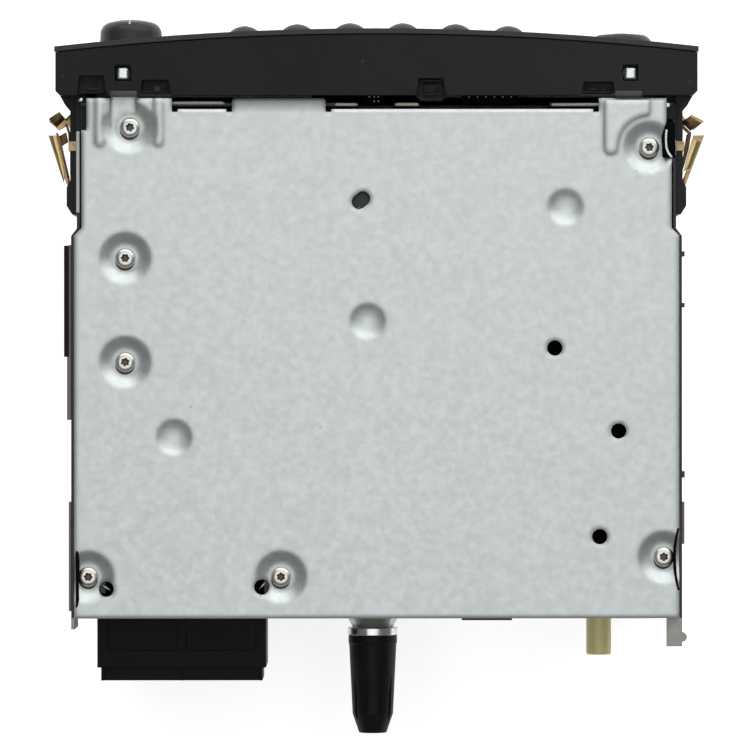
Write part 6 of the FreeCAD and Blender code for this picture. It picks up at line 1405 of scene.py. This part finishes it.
class PLAYER_OT_dish_gaps(bpy.types.Operator):
    """Black pieces of painted shade in the open sides of the corner dishes, with one bright folded
    lip
    """

    bl_idname = "player.dish_gaps"
    bl_label = "Dish seals"

    def execute(self, context):
        black = moulding("seal_rubber", grey(0.0015), 0.7, 0.0006, 0.3, 1.5, 0.05)
        for name, outline in GAP_SHADE_OUTLINES.items():
            gap_shade = plate(f"dish_seal_{name}", outline, 97.5, 100.08)
            finish_piece(gap_shade, black, "pad_foam", width=0.08)
        lip = ribbon("folded_lip", LIP_POINTS, 99.3, 100.4, 0.7)
        finish_piece(lip, "hook_steel", "casing_steel", width=0.12)
        return {"FINISHED"}


class PLAYER_OT_insulating_film(bpy.types.Operator):
    """Black film over the upper board: painted shade seen through the cover's holes"""

    bl_idname = "player.insulating_film"
    bl_label = "Insulating film"

    def execute(self, context):
        # Near-black sheet that stands for the shade inside the casing: painted shade
        black = moulding("film_plastic", (0.0010, 0.0012, 0.0012), 0.7, 0.002, 0.2, 1.2, 0.02)
        film = blank("insulating_film", (-86.5, -40.0, 95.42), (86.5, 69.8, 95.55))
        rounded(film, 3.0, 4)
        choose(film, "FACE", lambda at, way: way.z > 0.9)
        inset(2.0)
        inset(0.8, 0.12)
        finish_piece(film, black, "can_plastic")
        return {"FINISHED"}


def laid_on(thing, node, depth=0.12):
    """Presses a flat mark back onto a node's front and gives it its thickness."""
    leave_edit()
    modify(
        "SHRINKWRAP", wrap_method="PROJECT", use_project_y=True, use_positive_direction=True,
        target=NODES[node], offset=0.00002,
    )
    modify("SOLIDIFY", thickness=0.001 * depth, offset=0.0)
    return thing


def flat_mark(name, outline, y):
    """A thin upright sheet of the given outline of x and z, ready to be laid on a face."""
    middle = [sum(values) / len(outline) for values in zip(*outline)]
    thing = polygon(name, [(x, y, z) for x, z in (*outline, middle)], "TRIFAN")
    bpy.ops.mesh.subdivide(number_cuts=2)
    leave_edit()
    return thing


def bar(x_low, x_high, z_low, z_high):
    """Outline of an upright rectangle."""
    return ((x_low, z_low), (x_high, z_low), (x_high, z_high), (x_low, z_high))


# Marks with the nodes they lie on and their outlines of x and z
KEY_MARKS = (
    ("eject_mark", "eject_key", (
        ((74.0, 77.9), (78.0, 77.9), (76.0, 80.1)), bar(74.0, 78.0, 76.6, 77.2),
    )),
    ("source_mark", "source_key", (
        ((-24.6, 23.3), (-24.6, 26.7), (-21.6, 25.0)),
        bar(-20.9, -20.2, 23.4, 26.6), bar(-19.5, -18.8, 23.4, 26.6),
    )),
    ("menu_mark", "menu_key", (
        bar(20.1, 23.9, 23.4, 23.9), bar(20.1, 23.9, 24.75, 25.25), bar(20.1, 23.9, 26.1, 26.6),
    )),
    ("knob_pointer", "volume_knob", (bar(74.35, 74.85, 59.2, 62.4),)),
)
DIGIT_SIZE = 0.0042


class PLAYER_OT_key_marks(bpy.types.Operator):
    """Numbers of the six preset keys, and plain symbols on the other keys and the knob"""

    bl_idname = "player.key_marks"
    bl_label = "Key marks"

    def execute(self, context):
        ink = moulding("key_print", colours().print_white, 0.5, 0.0005, 0.1, 1.1)
        for number in PRESETS:
            node = f"preset_button_{number}"
            (x_low, y, z_low), (x_high, _, z_high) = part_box(node)
            place = ((x_low + x_high) / 2, y - 0.002, (z_low + z_high) / 2 - DIGIT_SIZE / 3)
            deselect()
            bpy.ops.object.text_add(location=place, rotation=(math.pi / 2, 0.0, 0.0))
            digit = named(f"preset_number_{number}")
            digit.data.body = str(number)
            digit.data.size = DIGIT_SIZE
            digit.data.align_x = "CENTER"
            digit.data.resolution_u = 6
            bpy.ops.object.convert(target="MESH")
            apply_all()
            edit_all()
            bpy.ops.mesh.remove_doubles(threshold=0.000005)
            bpy.ops.mesh.subdivide(number_cuts=2)
            finish_piece(laid_on(digit, node), ink, "key_plastic", node)

        for name, node, outlines in KEY_MARKS:
            y = 1000.0 * corner(node, 0, "y") - 2.0
            parts = [
                laid_on(flat_mark(f"{name}_{n}", outline, y), node)
                for n, outline in enumerate(outlines)
            ]
            finish_piece(joined(name, parts), ink, "key_plastic", node)
        return {"FINISHED"}


# The bars of one digit: low corner, high corner, in parts of its height
DIGIT_BARS = (
    ((0.06, 0.94), (0.44, 1.00)),
    ((0.06, 0.47), (0.44, 0.53)),
    ((0.06, 0.00), (0.44, 0.06)),
    ((0.00, 0.54), (0.06, 0.94)),
    ((0.44, 0.54), (0.50, 0.94)),
    ((0.00, 0.06), (0.06, 0.46)),
    ((0.44, 0.06), (0.50, 0.46)),
)
DIGIT_HEIGHT = 11.0
# Left edge, step and foot of the digits, and how much wider the gap in the middle is
DIGIT_PLACE = (-20.0, 9.4, 48.5, 2.4)
# Feet of the two dots between them
DOT_LEVELS = (51.6, 56.0)


class PLAYER_OT_display_marks(bpy.types.Operator):
    """Unlit bars of the display's digits behind the smoked window"""

    bl_idname = "player.display_marks"
    bl_label = "Display segments"

    def execute(self, context):
        unlit = moulding("unlit_segment", (0.40, 0.44, 0.42), 0.4, 0.0006, 0.1, 1.2)
        face = 1000.0 * corner("display", 0, "y")
        first, step, foot, gap = DIGIT_PLACE
        shapes = []
        for digit in range(4):
            left = first + step * digit + (gap if digit > 1 else 0.0)
            for ends in DIGIT_BARS:
                shapes.append([(left + DIGIT_HEIGHT * x, foot + DIGIT_HEIGHT * z) for x, z in ends])
        shapes += [((-0.2, level), (0.7, level + 0.9)) for level in DOT_LEVELS]
        bars = [
            blank(f"bar_{n}", (x_low, face - 0.10, z_low), (x_high, face + 0.05, z_high))
            for n, ((x_low, z_low), (x_high, z_high)) in enumerate(shapes)
        ]
        finish_piece(joined("display_digits", bars), unlit, "display_black", width=0.04)
        return {"FINISHED"}


# Floor, lamps and camera. Places and sizes are in metres.

WHITE = (1.0, 1.0, 1.0, 1.0)
LAMP_TARGET = (0.0, 0.0, 0.1)


def lamp(name, place, size, watts):
    """A soft rectangular lamp that looks at the part."""
    deselect()
    bpy.ops.object.light_add(type="AREA", location=place)
    light = named(name)
    light.data.shape = "RECTANGLE"
    light.data.size, light.data.size_y = size
    light.data.energy = watts
    way = Vector(LAMP_TARGET) - Vector(place)
    light.rotation_euler = way.to_track_quat("-Z", "Y").to_euler()


class PLAYER_OT_stage(bpy.types.Operator):
    """Pale floor, soft light and the camera of the photograph"""

    bl_idname = "player.stage"
    bl_label = "Floor, light and camera"

    def execute(self, context):
        scene = context.scene
        scene.view_settings.view_transform = "Standard"
        deselect()
        bpy.ops.mesh.primitive_plane_add(size=6.0, location=(0.0, 0.0, -0.0005))
        floor = named("floor")
        apply_all()

        # The camera and mirrors see the floor's own light, and nothing else is lit by it
        material, tree = empty_material("pale_floor")
        matt = add(tree, "BsdfDiffuse", (*colours().backdrop, 1.0))
        glow = add(tree, "Emission", inputs={"Strength": FLOOR_GLOW})
        rays = add(tree, "LightPath")
        seen = maths(tree, "MAXIMUM", (rays, "Is Camera Ray"), (rays, "Is Glossy Ray"))
        seen = maths(tree, "MAXIMUM", seen, (rays, "Is Transmission Ray"))
        both = add(tree, "AddShader", matt, glow)
        add(tree, "OutputMaterial", add(tree, "MixShader", seen, matt, both))
        floor.data.materials.append(material)

        # Even light all round, which the camera sees as white
        scene.world = scene.world or bpy.data.worlds.new("sky")
        scene.world.use_nodes = True
        sky = scene.world.node_tree
        sky.nodes.clear()
        even, white = (add(sky, "Background", WHITE, level) for level in (details().sky, 1.0))
        seen = (add(sky, "LightPath"), "Is Camera Ray")
        add(sky, "OutputWorld", add(sky, "MixShader", seen, even, white))

        lamp("main_lamp", (-0.30, -1.15, 0.85), (3.0, 1.2), details().lamp)
        lamp("overhead_lamp", (0.0, 0.0, 2.3), (2.0, 2.0), details().overhead)

        deselect()
        bpy.ops.object.camera_add(location=CAMERA_PLACE)
        camera = named("photo_camera")
        camera.data.sensor_width = 36.0
        camera.data.lens = CAMERA_LENS
        camera.data.clip_start = 0.05
        camera.data.clip_end = 20.0
        camera.rotation_euler = Matrix(CAMERA_TURN).to_euler()
        scene.camera = camera
        return {"FINISHED"}


class PLAYER_PT_panel(bpy.types.Panel):
    """Steps of the disc player, in order"""

    bl_idname = "PLAYER_PT_panel"
    bl_label = "Disc player"
    bl_space_type = "VIEW_3D"
    bl_region_type = "UI"
    bl_category = "Disc player"

    def draw(self, context):
        for step in STEPS:
            self.layout.operator(step.bl_idname)
        for group in (context.scene.player_colours, context.scene.player_details):
            box = self.layout.box()
            for name in group.__annotations__:
                box.prop(group, name)


STEPS = (
    PLAYER_OT_stage,
    PLAYER_OT_casing_finish,
    PLAYER_OT_fascia_finish,
    PLAYER_OT_spring_finish,
    PLAYER_OT_rear_finish,
    PLAYER_OT_board_finish,
    PLAYER_OT_mechanism_finish,
    PLAYER_OT_screws,
    PLAYER_OT_notch_parts,
    PLAYER_OT_header_pins,
    PLAYER_OT_catch_hooks,
    PLAYER_OT_arm_caps,
    PLAYER_OT_moulding_marks,
    PLAYER_OT_spring_details,
    PLAYER_OT_wire_links,
    PLAYER_OT_plate_tabs,
    PLAYER_OT_dish_gaps,
    PLAYER_OT_insulating_film,
    PLAYER_OT_key_marks,
    PLAYER_OT_display_marks,
)
CLASSES = (FinishColours, DetailSizes, *STEPS, PLAYER_PT_panel)


def register():
    for thing in CLASSES:
        bpy.utils.register_class(thing)
    bpy.types.Scene.player_colours = bpy.props.PointerProperty(type=FinishColours)
    bpy.types.Scene.player_details = bpy.props.PointerProperty(type=DetailSizes)


def unregister():
    del bpy.types.Scene.player_details
    del bpy.types.Scene.player_colours
    for thing in reversed(CLASSES):
        bpy.utils.unregister_class(thing)


def main():
    """Registers the steps and runs them in order, which builds the whole scene."""
    register()
    for step in STEPS:
        folder, name = step.bl_idname.split(".")
        getattr(getattr(bpy.ops, folder), name)()


if __name__ == "__main__":
    main()
